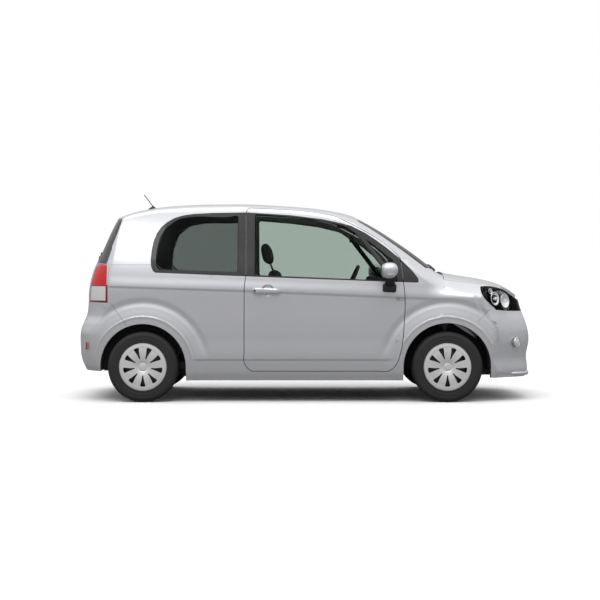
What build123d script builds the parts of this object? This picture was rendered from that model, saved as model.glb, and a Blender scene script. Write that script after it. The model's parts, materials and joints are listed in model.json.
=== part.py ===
from build123d import *
from math import atan2, cos, degrees, hypot, pi, radians, sin, sqrt, tan
import os

# Compact minivan with one hinged front door on each side and a tailgate.
# Millimetres.  +X is forward, +Z is up, the right side is -Y.
# Origin: on the ground, midway along the length and width.

# ---------------------------------------------------------------- driving dimensions
LENGTH = 3995.0              # over the bumpers
WIDTH = 1695.0               # over the wheel arch flares, without mirrors
HEIGHT = 1726.0              # ground to the crown of the roof
WHEELBASE = 2600.0
FRONT_OVERHANG = 785.0
TRACK = 1480.0               # tyre centre to tyre centre
TYRE_RADIUS = 302.0
TYRE_WIDTH = 185.0
RIM_RADIUS = 198.0           # over the rim flanges
ARCH_RADIUS = 376.0          # opening in the front fender
REAR_ARCH_RADIUS = 368.0

SKIN = 12.0                  # fenders and bumpers, outer skin with its stiffeners
DOOR_WALL = 72.0             # whole door, skin to trim, below the window line
PILLAR_WALL = 44.0           # pillars and window frames above it
ROOF_WALL = 28.0             # roof, hood and tailgate top with their frames
END_WALL = 46.0              # bumpers and tailgate, front to back
GLASS = 5.0
SHUT_GAP = 6.0               # round each door, hood and tailgate
JOINT_PLAY = 0.3             # between pieces that seat on each other
PANEL_DRAFT = 8.0            # degrees, door edges narrow towards the cabin

STEER_LIMIT = 34.0           # degrees each way

# ---------------------------------------------------------------- derived places
NOSE_X = LENGTH / 2
TAIL_X = -LENGTH / 2
FRONT_AXLE = NOSE_X - FRONT_OVERHANG
REAR_AXLE = FRONT_AXLE - WHEELBASE
AXLE_HEIGHT = TYRE_RADIUS
WHEEL_Y = TRACK / 2
HALF = WIDTH / 2


def smooth(t):
    """Eased step from 0 to 1."""
    t = min(1.0, max(0.0, t))
    return t * t * (3 - 2 * t)


def curve(stations):
    """Smooth shape-keeping curve through (place, value) stations."""
    xs = [s[0] for s in stations]
    ys = [s[1] for s in stations]
    n = len(xs)
    step = [xs[i + 1] - xs[i] for i in range(n - 1)]
    rise = [(ys[i + 1] - ys[i]) / step[i] for i in range(n - 1)]
    slope = [rise[0]]
    for i in range(1, n - 1):
        if rise[i - 1] * rise[i] <= 0:
            slope.append(0.0)
        else:
            a = 2 * step[i] + step[i - 1]
            b = step[i] + 2 * step[i - 1]
            slope.append((a + b) / (a / rise[i - 1] + b / rise[i]))
    slope.append(rise[-1])

    def value(x):
        if x <= xs[0]:
            return ys[0] + slope[0] * (x - xs[0])
        if x >= xs[-1]:
            return ys[-1] + slope[-1] * (x - xs[-1])
        i = max(j for j in range(n - 1) if xs[j] <= x)
        t = (x - xs[i]) / step[i]
        return ((2 * t ** 3 - 3 * t ** 2 + 1) * ys[i]
                + (t ** 3 - 2 * t ** 2 + t) * step[i] * slope[i]
                + (3 * t ** 2 - 2 * t ** 3) * ys[i + 1]
                + (t ** 3 - t ** 2) * step[i] * slope[i + 1])

    return value


# ---------------------------------------------------------------- body surface
# The skin is four sheets: two sides y = +-half_width(x, z), a top z = top(x, y),
# a nose x = nose(y, z) and a tail x = tail(y, z).

centre_line = curve([
    (TAIL_X - 100, HEIGHT - 256), (-1900, HEIGHT - 186), (-1648, HEIGHT - 118),
    (-1482, HEIGHT - 63), (-1212, HEIGHT - 20), (-834, HEIGHT - 1), (-560, HEIGHT),
    (-186, HEIGHT - 17), (137, HEIGHT - 45), (300, HEIGHT - 71), (430, HEIGHT - 106),
    (560, HEIGHT - 168), (893, 1348), (1109, 1190), (1205, 1124), (1330, 1095),
    (1565, 1057), (1700, 1024), (1800, 980), (1893, 908), (NOSE_X + 100, 680)])
crown = curve([
    (TAIL_X - 100, 60), (-1600, 50), (0, 45), (300, 58), (450, 75), (785, 85), (1100, 85),
    (1250, 62), (1600, 60), (1900, 75), (NOSE_X + 100, 90)])
side_section = curve([
    (100, HALF - 78), (185, HALF - 52), (260, HALF - 30), (370, HALF - 20),
    (600, HALF - 12), (850, HALF - 15), (960, HALF - 17), (1050, HALF - 26),
    (1300, HALF - 78), (1600, HALF - 142), (1800, HALF - 192)])
plan_inset = curve([
    (TAIL_X - 152, 560), (-1990, 300), (-1950, 205), (-1850, 92), (-1700, 26), (-1500, 4),
    (-1300, 0), (0, 0), (1250, 0), (1400, 6), (1600, 34), (1800, 117), (1900, 205),
    (1960, 300), (NOSE_X + 152, 700)])
nose_section = curve([
    (100, NOSE_X - 57), (224, NOSE_X - 32), (262, NOSE_X - 11), (370, NOSE_X - 23),
    (440, NOSE_X - 12), (520, NOSE_X), (590, NOSE_X - 5), (690, NOSE_X - 31),
    (775, NOSE_X - 67), (842, NOSE_X - 86), (910, NOSE_X - 104), (1100, NOSE_X - 167)])
tail_section = curve([
    (100, TAIL_X + 117), (263, TAIL_X + 61), (307, TAIL_X + 28), (437, TAIL_X + 2),
    (567, TAIL_X), (654, TAIL_X + 21), (740, TAIL_X + 59), (1001, TAIL_X + 82),
    (1131, TAIL_X + 117), (1304, TAIL_X + 198), (1478, TAIL_X + 278),
    (1608, TAIL_X + 349), (1800, TAIL_X + 457)])

FLARE = 12.0                 # how far the wheel arches stand out of the sides
FLARE_REACH = 540.0          # radius where the flare has died out


def half_width(x, z):
    w = side_section(z) - plan_inset(x)
    for axle in (FRONT_AXLE, REAR_AXLE):
        w += FLARE * smooth((FLARE_REACH - hypot(x - axle, z - AXLE_HEIGHT)) / 120)
    w -= 40 * smooth((z - 1150) / 450) * smooth((-700 - x) / 900)
    w -= 45 * smooth((z - 860) / 150) ** 2 * smooth((x - 1000) / 250)
    return w


def top(x, y):
    over_hood = smooth((x - 950) / 250)
    drop = crown(x) * (y / 700) ** 2
    drop += over_hood * 105 * (max(0.0, abs(y) - 640) / 200) ** 2
    drop += (1 - over_hood) * 22 * (max(0.0, abs(y) - 560) / 140) ** 2
    return centre_line(x) - drop


def end_bow(y, start, depth):
    return 50 * (y / 600) ** 2 + depth * (max(0.0, abs(y) - start) / 250) ** 2


def nose(y, z):
    return nose_section(z) - end_bow(y, 480, 190)


def tail(y, z):
    return tail_section(z) + 0.8 * end_bow(y, 520, 150)


def spread(low, high, count):
    return [low + (high - low) * i / (count - 1) for i in range(count)]


SHEET_X = spread(TAIL_X - 112, NOSE_X + 112, 37)
SHEET_Y = spread(-900, 900, 15)
SHEET_Z = spread(100, 1780, 19)
SHEET_FIT = 1.0              # how closely a sheet follows its formula


def sheet(point, rows, columns):
    """Spline face through a grid of points."""
    grid = [[Vector(*point(a, b)) for b in columns] for a in rows]
    return Face.make_surface_from_array_of_points(grid, tol=SHEET_FIT, min_deg=3, max_deg=3)


def side_form(depth):
    """All that lies inside the right side's surface, set in by depth(z)."""
    face = sheet(lambda x, z: (x, -half_width(x, z) + depth(z), z), SHEET_X, SHEET_Z)
    return Solid.extrude(face, Vector(0, 1900, 0))


def top_form(depth):
    """All that lies under the roof, windshield and hood surface."""
    face = sheet(lambda x, y: (x, y, top(x, y) - depth), SHEET_X, SHEET_Y)
    return Solid.extrude(face, Vector(0, 0, -1700))


def nose_form(depth):
    face = sheet(lambda y, z: (nose(y, z) - depth, y, z), SHEET_Y, SHEET_Z)
    return Solid.extrude(face, Vector(-4500, 0, 0))


def tail_form(depth):
    face = sheet(lambda y, z: (tail(y, z) + depth, y, z), SHEET_Y, SHEET_Z)
    return Solid.extrude(face, Vector(4500, 0, 0))


def body_form(side_in=lambda z: 0.0, top_in=0.0, front_in=0.0, rear_in=0.0):
    """The body's outer form, or the same form set in by the given depths."""
    sides = side_form(side_in)
    form = sides & mirror(sides, about=Plane.XZ) & top_form(top_in)
    return form & nose_form(front_in) & tail_form(rear_in)


# ---------------------------------------------------------------- outlines and cutters
def moved_out(parts, grow):
    """Outline moved outwards; grow gives the distance at each point."""
    area = sum(a[0] * b[1] - b[0] * a[1] for seg in parts for a, b in zip(seg, seg[1:]))
    turn = 1.0 if area > 0 else -1.0

    def normal(a, b):
        d = hypot(b[0] - a[0], b[1] - a[1])
        return (turn * (b[1] - a[1]) / d, -turn * (b[0] - a[0]) / d)

    result = []
    for k, seg in enumerate(parts):
        before = parts[k - 1]
        after = parts[(k + 1) % len(parts)]
        points = []
        for i, p in enumerate(seg):
            if i == 0:
                n1, n2 = normal(before[-2], before[-1]), normal(seg[0], seg[1])
            elif i == len(seg) - 1:
                n1, n2 = normal(seg[-2], seg[-1]), normal(after[0], after[1])
            else:
                n1 = n2 = normal(seg[i - 1], seg[i + 1])
            scale = grow(*p) / (1 + n1[0] * n2[0] + n1[1] * n2[1])
            points.append((p[0] + scale * (n1[0] + n2[0]), p[1] + scale * (n1[1] + n2[1])))
        result.append(points)
    return result


def outline_wire(parts, place):
    edges = []
    for seg in parts:
        points = [Vector(*place(*p)) for p in seg]
        edges.append(Edge.make_line(*points) if len(points) == 2 else Edge.make_spline(points))
    return Wire(edges)


def side_cutter(parts, y_out, y_in, grow=0.0, draft=0.0):
    """Side view outline, true on the skin of the right side, as a solid along Y."""
    wires = []
    for y in (y_out, y_in):
        def reach(x, z, y=y):
            return grow + tan(radians(draft)) * (abs(y) - half_width(x, z))
        wires.append(outline_wire(moved_out(parts, reach), lambda x, z, y=y: (x, y, z)))
    return Solid.make_loft(wires, ruled=True)


def plan_cutter(parts, z_low, z_high, grow=0.0):
    wires = [outline_wire(moved_out(parts, lambda x, y: grow), lambda x, y, z=z: (x, y, z))
             for z in (z_low, z_high)]
    return Solid.make_loft(wires, ruled=True)


def polygon(*points):
    """Straight-sided outline."""
    return [[a, b] for a, b in zip(points, points[1:] + points[:1])]


def block(x0, x1, y0, y1, z0, z1):
    return Pos((x0 + x1) / 2, (y0 + y1) / 2, (z0 + z1) / 2) * Box(x1 - x0, y1 - y0, z1 - z0)


def rod(x, y, z, radius, length, axis=(0, 0, 1)):
    """Cylinder centred on a point, along an axis."""
    return Plane(origin=(x, y, z), z_dir=axis) * Cylinder(radius, length)


def both_sides(piece):
    return Compound(list(piece.solids()) + list(mirror(piece, about=Plane.XZ).solids()))


def overlap(a, b):
    """Common volume of two solids."""
    shared = a & b
    return a - (a - b) if shared is None else shared


def one(shape):
    """The shape as a compound of its solids, without slivers."""
    return Compound([s for s in shape.solids() if s.volume > 500])


FAR = 900.0                  # outside every side

DOOR_FOOT = 268.0            # lower edge of the door
DOOR_REAR = -504.0
DOOR_OUTLINE = [
    [(-455, DOOR_FOOT), (640, DOOR_FOOT)],
    [(640, DOOR_FOOT), (745, 290), (806, 414), (838, 656), (848, 858), (830, 1055),
     (811, 1228)],
    [(811, 1228), (692, 1345), (560, 1434), (396, 1522), (282, 1582)],
    [(282, 1582), (142, 1614), (-123, 1645), (DOOR_REAR + 40, 1662)],
    [(DOOR_REAR + 40, 1662), (DOOR_REAR + 10, 1652), (DOOR_REAR, 1625)],
    [(DOOR_REAR, 1625), (DOOR_REAR, 1087)],
    [(DOOR_REAR, 1087), (DOOR_REAR - 13, 1000), (DOOR_REAR - 16, 900)],
    [(DOOR_REAR - 16, 900), (DOOR_REAR - 16, 420)],
    [(DOOR_REAR - 16, 420), (DOOR_REAR, 310), (-455, DOOR_FOOT)]]
DOOR_GLASS = [
    [(-437, 1081), (442, 1043)],
    [(442, 1043), (398, 1300), (352, 1505)],
    [(352, 1505), (142, 1556), (-123, 1590), (-420, 1614)],
    [(-420, 1614), (-437, 1600)],
    [(-437, 1600), (-437, 1081)]]
CORNER_GLASS = polygon((492, 1040), (790, 1030), (752, 1215), (560, 1370), (430, 1452))
QUARTER_GLASS = [
    [(-1220, 1128), (-600, 1106)],
    [(-600, 1106), (-575, 1120)],
    [(-575, 1120), (-575, 1590)],
    [(-575, 1590), (-600, 1600)],
    [(-600, 1600), (-960, 1592), (-1100, 1565), (-1210, 1480), (-1270, 1330), (-1285, 1180)],
    [(-1285, 1180), (-1265, 1140), (-1220, 1128)]]
WINDSHIELD_TOP = 436.0
WINDSHIELD_FOOT = 1180.0
WINDSHIELD = [
    [(WINDSHIELD_TOP + 32, -590), (WINDSHIELD_TOP, 0), (WINDSHIELD_TOP + 32, 590)],
    [(WINDSHIELD_TOP + 32, 590), (760, 648), (1038, 690)],
    [(1038, 690), (1145, 400), (WINDSHIELD_FOOT, 0), (1145, -400), (1038, -690)],
    [(1038, -690), (760, -648), (WINDSHIELD_TOP + 32, -590)]]
HOOD_REAR = 1222.0
HOOD_FRONT = 1905.0
HOOD = [
    [(HOOD_REAR - 24, -700), (HOOD_REAR, 0), (HOOD_REAR - 24, 700)],
    [(HOOD_REAR - 24, 700), (1350, 684), (1506, 655)],
    [(1506, 655), (1700, 560), (1850, 430)],
    [(1850, 430), (1885, 250), (HOOD_FRONT, 0), (1885, -250), (1850, -430)],
    [(1850, -430), (1700, -560), (1506, -655)],
    [(1506, -655), (1350, -684), (HOOD_REAR - 24, -700)]]
HEADLAMP = [
    [(1506, 988), (1614, 990), (1700, 966), (1800, 905), (1930, 850)],
    [(1930, 850), (1930, 775)],
    [(1930, 775), (1770, 775), (1640, 786)],
    [(1640, 786), (1560, 860), (1510, 925), (1506, 988)]]
LAMP_INNER = 430.0
TAIL_LAMP = polygon((-1679, 1177), (-1692, 1010), (-1690, 850), (-1960, 856), (-1960, 1176))
TAIL_LAMP_INNER = 606.0
TAILGATE_TOP = -1590.0
TAILGATE_FOOT = 700.0
BUMPER_SEAM = polygon((1440, 150), (1475, 672), (1574, 800), (1640, 786), (1770, 775),
                      (1930, 775), (2100, 775), (2100, 150))
REAR_BUMPER_SEAM = polygon((-1531, 120), (-1531, 656), (-1690, 850), (-1960, 856),
                           (-2100, 856), (-2100, 120))
FENDER_REAR = 686.0          # seam between the front fender and the sill
SILL_FOOT = 186.0
BUMPER_FOOT = 206.0
REAR_BUMPER_FOOT = 262.0
ROOF_EDGE = 590.0            # seam between the roof and the side panels

# ---------------------------------------------------------------- the forms
outer = body_form()
under_skin = body_form(lambda z: SKIN, SKIN, SKIN, SKIN)


def wall_depth(z):
    """Door and pillar thickness, thinner above the window line."""
    return DOOR_WALL - (DOOR_WALL - PILLAR_WALL) * smooth((z - 985) / 70)


cabin = body_form(wall_depth, ROOF_WALL, END_WALL, END_WALL)
side_outer = side_form(lambda z: 0.0)
side_inner = side_form(wall_depth)
top_outer = top_form(0.0)
top_inner = top_form(ROOF_WALL)


def wheel_well(axle, radius, inner):
    return rod(axle, -(inner + FAR) / 2 - 50, AXLE_HEIGHT, radius, FAR - inner + 100, (0, 1, 0))


FRONT_WELL_INNER = 440.0
REAR_WELL_INNER = 612.0
front_well = wheel_well(FRONT_AXLE, ARCH_RADIUS, FRONT_WELL_INNER)
front_well += block(FRONT_AXLE - ARCH_RADIUS, FRONT_AXLE + ARCH_RADIUS, -FAR - 100,
                    -FRONT_WELL_INNER, 0, AXLE_HEIGHT)
rear_well = wheel_well(REAR_AXLE, REAR_ARCH_RADIUS, REAR_WELL_INNER)
rear_well += block(REAR_AXLE - REAR_ARCH_RADIUS, REAR_AXLE + REAR_ARCH_RADIUS, -FAR - 100,
                   -REAR_WELL_INNER, 0, AXLE_HEIGHT - 30)
right_half = block(-2200, 2200, -FAR, 0, 0, 2000)

parts = {}

# ---------------------------------------------------------------- doors
HINGE_X = 788.0              # vertical axis through both hinges of a front door
HINGE_Y = -(HALF - 11)
HINGE_PIN = 4.0
HINGE_LEVELS = (520.0, 880.0)
HINGE_PLATE = 8.0
POCKET = 84.0                # reach of the hinge pocket in the door's front edge

door_form = side_cutter(DOOR_OUTLINE, -FAR, -560, draft=PANEL_DRAFT)
door_opening = side_cutter(DOOR_OUTLINE, -FAR - 20, -540, grow=SHUT_GAP, draft=PANEL_DRAFT)
door_glass_cut = side_cutter(DOOR_GLASS, -FAR, -540)
corner_glass_cut = side_cutter(CORNER_GLASS, -FAR, -540)


GLASS_DEPTH = 14.0           # side glass below the skin
glass_front = side_form(lambda z: GLASS_DEPTH)
glass_back = side_form(lambda z: GLASS_DEPTH + GLASS)


def side_pane(outline):
    """Curved pane that fills a side opening."""
    cutter = side_cutter(outline, -FAR, -540, grow=-JOINT_PLAY)
    return one(overlap(cutter, glass_front) - glass_back)


HANDLE = (-320.0, 952.0)     # middle of the outside handle, x and z
HANDLE_HOLLOW = 56.0         # radius of the finger hollow behind it
HOLLOW_DEPTH = 17.0


def hollow(x, z, radius, depth, lean=0.0):
    """Ball that cuts a round hollow in the right side's skin, leaning forward by lean degrees."""
    ball = (radius ** 2 + depth ** 2) / (2 * depth)
    off = ball - depth
    y = -half_width(x, z) - off * cos(radians(lean))
    return Pos(x + off * sin(radians(lean)), y, z) * Sphere(ball)


def make_door():
    door = overlap(door_form, side_outer) - side_inner - door_glass_cut - corner_glass_cut
    door -= hollow(*HANDLE, HANDLE_HOLLOW, HOLLOW_DEPTH)
    for level in HINGE_LEVELS:
        pocket = block(HINGE_X - 16, HINGE_X + 100, HINGE_Y + 8, HINGE_Y + POCKET,
                       level - HINGE_PLATE / 2 - 6, level + HINGE_PLATE / 2 + 6)
        pocket += block(HINGE_X, HINGE_X + 100, HINGE_Y - 3, HINGE_Y + 8,
                        level - HINGE_PLATE / 2 - 6, level + HINGE_PLATE / 2 + 6)
        pocket += rod(HINGE_X, HINGE_Y, level, 13, HINGE_PLATE + 12)
        door -= pocket
        door -= rod(HINGE_X, HINGE_Y, level, HINGE_PIN + JOINT_PLAY, 60)
    return one(door)


def hinge_plate(level):
    arm = block(HINGE_X - 6, HINGE_X + 6, HINGE_Y, HINGE_Y + 66, level - HINGE_PLATE / 2,
                level + HINGE_PLATE / 2)
    arm += block(HINGE_X - 6, HINGE_X + 90, HINGE_Y + 54, HINGE_Y + 66,
                 level - HINGE_PLATE / 2, level + HINGE_PLATE / 2)
    arm += rod(HINGE_X, HINGE_Y, level, 9, HINGE_PLATE)
    return arm + rod(HINGE_X, HINGE_Y, level, HINGE_PIN, 48)


door_right = make_door()
door_glass_right = Compound(list(side_pane(DOOR_GLASS).solids())
                            + list(side_pane(CORNER_GLASS).solids()))

# ---------------------------------------------------------------- body side
quarter_cut = side_cutter(QUARTER_GLASS, -FAR, -500)
headlamp_form = side_cutter(HEADLAMP, -FAR, -LAMP_INNER)
tail_lamp_form = side_cutter(TAIL_LAMP, -FAR, -TAIL_LAMP_INNER)
bumper_form = side_cutter(BUMPER_SEAM, -FAR, 0)
rear_bumper_form = side_cutter(REAR_BUMPER_SEAM, -FAR, 0)
windshield_cut = plan_cutter(WINDSHIELD, 900, 1800)
hood_opening = plan_cutter(HOOD, 700, 1300, grow=SHUT_GAP)
tailgate_side = polygon((TAILGATE_TOP, 1800), (TAILGATE_TOP, 1560), (-1714, 1186),
                        (-1780, 1183), (-2100, 1183), (-2100, 1800))


def tailgate_form(grow):
    upper = side_cutter(tailgate_side, -FAR, FAR, grow=grow)
    lower = block(-2100, -1650, -600 - grow, 600 + grow, TAILGATE_FOOT - grow, 1250)
    return upper + lower


tailgate_opening = tailgate_form(SHUT_GAP)
fender_zone = polygon((FENDER_REAR, 150), (FENDER_REAR, DOOR_FOOT - SHUT_GAP), (745, 284),
                      (812, 414), (844, 656), (854, 858), (836, 1055), (818, 1232),
                      (945, 1174), (1040, 1168), (1180, 1300), (1700, 1300), (1700, 150))
fender_cut = side_cutter(fender_zone, -FAR, -FRONT_WELL_INNER - 20)


def make_fender():
    fender = (outer & fender_cut) - under_skin - door_opening - front_well - windshield_cut
    fender = fender - hood_opening - headlamp_form - bumper_form
    return one(fender & block(600, 1700, -FAR, -560, SILL_FOOT, 1300))


def make_side_panel():
    zone = block(-1800, 1040, -FAR, -ROOF_EDGE, SILL_FOOT, 1800)
    zone += block(-1800, 1040, -FAR, -700, SILL_FOOT, 1100)
    panel = (outer & zone) - cabin - door_opening - quarter_cut - rear_well
    panel = panel - front_well - windshield_cut - tail_lamp_form - rear_bumper_form
    panel = panel - tailgate_opening
    panel = panel - (fender_cut - (Pos(0, JOINT_PLAY, 0) * under_skin))
    for level in HINGE_LEVELS:
        panel += hinge_plate(level)
    return one(panel)


side_panel_right = make_side_panel()
fender_right = make_fender()
quarter_right = side_pane(QUARTER_GLASS)

# ---------------------------------------------------------------- roof, hood, glass
roof_zone = block(TAILGATE_TOP + SHUT_GAP, 1000, -ROOF_EDGE, ROOF_EDGE, 1450, 1800)
roof_panel = one(overlap(roof_zone, top_outer) - top_inner - windshield_cut)

hood_form = plan_cutter(HOOD, 700, 1300)
hood = one((outer & hood_form & block(1100, 2100, -FAR, FAR, 880, 1300)) - cabin)

GLASS_DROP = 5.0             # windshield below the roof surface
windshield = one(overlap(plan_cutter(WINDSHIELD, 1000, 1800, grow=-JOINT_PLAY),
                         top_form(GLASS_DROP)) - top_form(GLASS_DROP + 6))

# ---------------------------------------------------------------- tailgate
REAR_GLASS = polygon((-560, 1190), (560, 1190), (520, 1545), (-520, 1545))


def rear_glass_cutter(grow):
    wires = [outline_wire(moved_out(REAR_GLASS, lambda y, z: grow), lambda y, z, x=x: (x, y, z))
             for x in (-1500, -2100)]
    return Solid.make_loft(wires, ruled=True)


PLATE_HOLLOW = (500.0, 190.0)   # width and height of the number plate's recess
PLATE_LEVEL = 850.0


def make_tailgate():
    wide, high = PLATE_HOLLOW
    recess = block(-2100, -1700, -wide / 2, wide / 2, PLATE_LEVEL - high / 2,
                   PLATE_LEVEL + high / 2) - (Pos(18, 0, 0) * outer)
    return one((outer & tailgate_form(0.0)) - cabin - rear_glass_cutter(0.0) - recess)


tailgate = make_tailgate()
tailgate_glass = one(overlap(rear_glass_cutter(-JOINT_PLAY), Pos(8, 0, 0) * outer)
                     - (Pos(8 + GLASS, 0, 0) * outer))

# ---------------------------------------------------------------- bumpers and lamps
GRILLE = block(1700, 2100, -390, 390, 795, 868)
INTAKE = block(1700, 2100, -470, 470, 300, 470)
FOG_LAMP = (1842.0, 506.0)   # middle of the round hollow, x and z
FOG_RADIUS = 47.0


def grille_bars():
    bars = block(1700, 2100, -400, 400, 826, 838)
    for level in (345, 395, 440):
        bars += block(1700, 2100, -480, 480, level - 5, level + 5)
    for y in spread(-320, 320, 5):
        bars += block(1700, 2100, y - 5, y + 5, 295, 475)
    return bars


def make_front_bumper():
    centre = block(1700, 2100, -LAMP_INNER, LAMP_INNER, 500, 880 - SHUT_GAP)
    form = bumper_form + mirror(bumper_form, about=Plane.XZ) + centre
    bumper = (outer & form) & block(1400, 2100, -FAR, FAR, BUMPER_FOOT, 1000)
    bumper = bumper - cabin - front_well - mirror(front_well, about=Plane.XZ)
    holes = (GRILLE + INTAKE) - grille_bars()
    fog = hollow(*FOG_LAMP, FOG_RADIUS, 24, 48)
    bumper = bumper - fog - mirror(fog, about=Plane.XZ)
    return one(bumper - holes - headlamp_form - mirror(headlamp_form, about=Plane.XZ))


def make_rear_bumper():
    form = rear_bumper_form + mirror(rear_bumper_form, about=Plane.XZ)
    bumper = (outer & form) & block(-2100, -1400, -FAR, FAR, REAR_BUMPER_FOOT, 900)
    bumper = bumper - cabin - rear_well - mirror(rear_well, about=Plane.XZ)
    buffer = block(-1940, -1920, -430, -400, TAILGATE_FOOT - 20, TAILGATE_FOOT - JOINT_PLAY)
    return one(bumper - tailgate_opening + buffer + mirror(buffer, about=Plane.XZ))


front_bumper = make_front_bumper()
rear_bumper = make_rear_bumper()
headlamp = one((outer & headlamp_form) - cabin - hood_opening)
tail_lamp = one((outer & tail_lamp_form) - cabin - tailgate_opening)

# ---------------------------------------------------------------- underbody
FLOOR = 280.0                # top of the floor pan
FLOOR_SHEET = 16.0
BULKHEAD = 930.0             # front of the firewall between cabin and engine bay
BOOT_FLOOR = 470.0
HEEL = -760.0                # step up to the rear seat and the boot floor
COWL = 1040.0                # top of the scuttle under the windshield's foot
APRON = 430.0                # inner side of the engine bay's side walls
WALL = 10.0                  # aprons and wheelhouses
TOWER_TOP = 800.0            # where the front struts end
TOWER = 74.0                 # half length of the strut tower
RAIL_FOOT = 300.0
LAMP_PANEL = 1835.0          # rear of the panel that carries the radiator
BEAM_PIVOT = -960.0          # bush in which a rear trailing arm swings
JACK_PADS = (-720.0, 590.0)  # where a jack or an axle stand lifts the sills
JACK_FOOT = 205.0

KING_LOW = (FRONT_AXLE, -690.0, 200.0)
KING_HIGH = (FRONT_AXLE, -570.0, TOWER_TOP)


def mirrored(piece):
    """The piece with its copy on the other side."""
    return piece + mirror(piece, about=Plane.XZ)


def wheelhouse(axle, radius, inner):
    outside = rod(axle, -(inner - WALL + FAR) / 2, AXLE_HEIGHT, radius + WALL,
                  FAR - inner + WALL, (0, 1, 0))
    return outside & block(axle - 500, axle + 500, -FAR, 0, FLOOR - FLOOR_SHEET, 1000)


def make_underbody():
    inner = HALF - DOOR_WALL - 30
    pan = block(HEEL, BULKHEAD, -inner, inner, FLOOR - FLOOR_SHEET, FLOOR)
    pan += block(HEEL, BULKHEAD, -120, 120, FLOOR, FLOOR + 90)
    pan -= block(HEEL - 1, BULKHEAD + 1, -104, 104, 0, FLOOR + 74)
    pan += block(HEEL - FLOOR_SHEET, HEEL, -inner, inner, FLOOR - FLOOR_SHEET, BOOT_FLOOR)
    pan += block(-1880, HEEL, -inner, inner, BOOT_FLOOR - FLOOR_SHEET, BOOT_FLOOR)
    pan += block(-1880, -1864, -inner, inner, BOOT_FLOOR, TAILGATE_FOOT - 20)
    pan += block(BULKHEAD - FLOOR_SHEET, BULKHEAD, -inner, inner, FLOOR - FLOOR_SHEET, COWL)
    pan += block(BULKHEAD - FLOOR_SHEET, HOOD_REAR - 30, -640, 640, COWL - 16, COWL)
    side = block(HEEL, 800, -inner, -inner + 70, FLOOR - FLOOR_SHEET, FLOOR + 80)
    side += block(BULKHEAD, LAMP_PANEL, -APRON - WALL, -APRON, 380, 860)
    side += block(BULKHEAD, LAMP_PANEL + 20, -APRON, -APRON + 60, RAIL_FOOT, 410)
    for x in JACK_PADS:
        side += block(x - 30, x + 30, -705, -655, JACK_FOOT, FLOOR - FLOOR_SHEET)
    side += wheelhouse(FRONT_AXLE, ARCH_RADIUS, FRONT_WELL_INNER)
    side += wheelhouse(REAR_AXLE, REAR_ARCH_RADIUS, REAR_WELL_INNER)
    tower = block(FRONT_AXLE - TOWER - WALL, FRONT_AXLE + TOWER + WALL, -690, -APRON, 560,
                  TOWER_TOP + JOINT_PLAY + WALL)
    side += tower
    side += block(LAMP_PANEL, LAMP_PANEL + 46, -560, -515, 400, 830)
    pan = pan + mirrored(side)
    pan += block(LAMP_PANEL, LAMP_PANEL + 46, -560, 560, 400, 460)
    pan += block(LAMP_PANEL, LAMP_PANEL + 46, -560, 560, 785, 830)
    pan -= mirrored(front_well + rear_well)
    pan -= mirrored(block(REAR_AXLE - 120, BEAM_PIVOT + 60, -FAR, -REAR_WELL_INNER + 34, 0, 400))
    pan -= mirrored(block(FRONT_AXLE - TOWER, FRONT_AXLE + TOWER, -680, -FRONT_WELL_INNER,
                          500, TOWER_TOP + JOINT_PLAY))
    stop = block(LAMP_PANEL - 24, LAMP_PANEL + 10, -312, -288, 790, 830)
    stop += rod(LAMP_PANEL - 14, -300, 900, 10, 200)
    stops = overlap(mirrored(stop), Pos(0, 0, -JOINT_PLAY) * cabin)
    return overlap(pan, cabin) + stops


underbody = one(make_underbody())

# ---------------------------------------------------------------- wheels
WHEEL_OFFSET = 40.0          # disc outboard of the tyre's centre plane
HUB_BORE = 20.0
RIM_WELL = 170.0             # drop centre of the rim
RIM_LIP = 3.0                # rim flange behind the tyre's side
COVER_RADIUS = 186.0
COVER_SLOTS = 9


def revolved(points):
    """Solid of revolution about the wheel's own Y axis from (radius, y) points."""
    face = Face(Wire.make_polygon([Vector(r, y, 0) for r, y in points], close=True))
    return Solid.revolve(face, 360, Axis.Y)


def tyre():
    w = TYRE_WIDTH / 2
    r = TYRE_RADIUS
    bead = RIM_RADIUS - 8
    return revolved([(bead, -w + 20), (bead + 22, -w + 4), (r - 40, -w), (r - 14, -w + 6),
                     (r, -w + 28), (r, w - 28), (r - 14, w - 6), (r - 40, w), (bead + 22, w - 4),
                     (bead, w - 20)])


def wheel():
    w = TYRE_WIDTH / 2
    seat_r = RIM_RADIUS - 8 - JOINT_PLAY
    well = RIM_WELL
    d = -WHEEL_OFFSET
    barrel = revolved([(seat_r, -w + 20), (RIM_RADIUS + 4, -w + 6), (RIM_RADIUS, -w + RIM_LIP),
                       (well, -w + 30), (well, w - 30), (RIM_RADIUS, w - 3),
                       (RIM_RADIUS + 4, w - 6), (seat_r, w - 20)])
    disc = revolved([(HUB_BORE, d - 4), (75, d - 4), (100, d - 14), (well + 4, d),
                     (well + 4, d + 8), (100, d - 4), (62, d + 8), (62, d + 26), (128, d + 26),
                     (128, d + 36), (62, d + 36), (45, d + 60), (HUB_BORE, d + 60)])
    return barrel + disc


def rim_cone(radius):
    """Where the rim's outer cone stands at a radius, along the wheel's axis."""
    w = TYRE_WIDTH / 2
    share = (RIM_RADIUS - radius) / (RIM_RADIUS - RIM_WELL)
    return -w + RIM_LIP + share * (30 - RIM_LIP)


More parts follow.
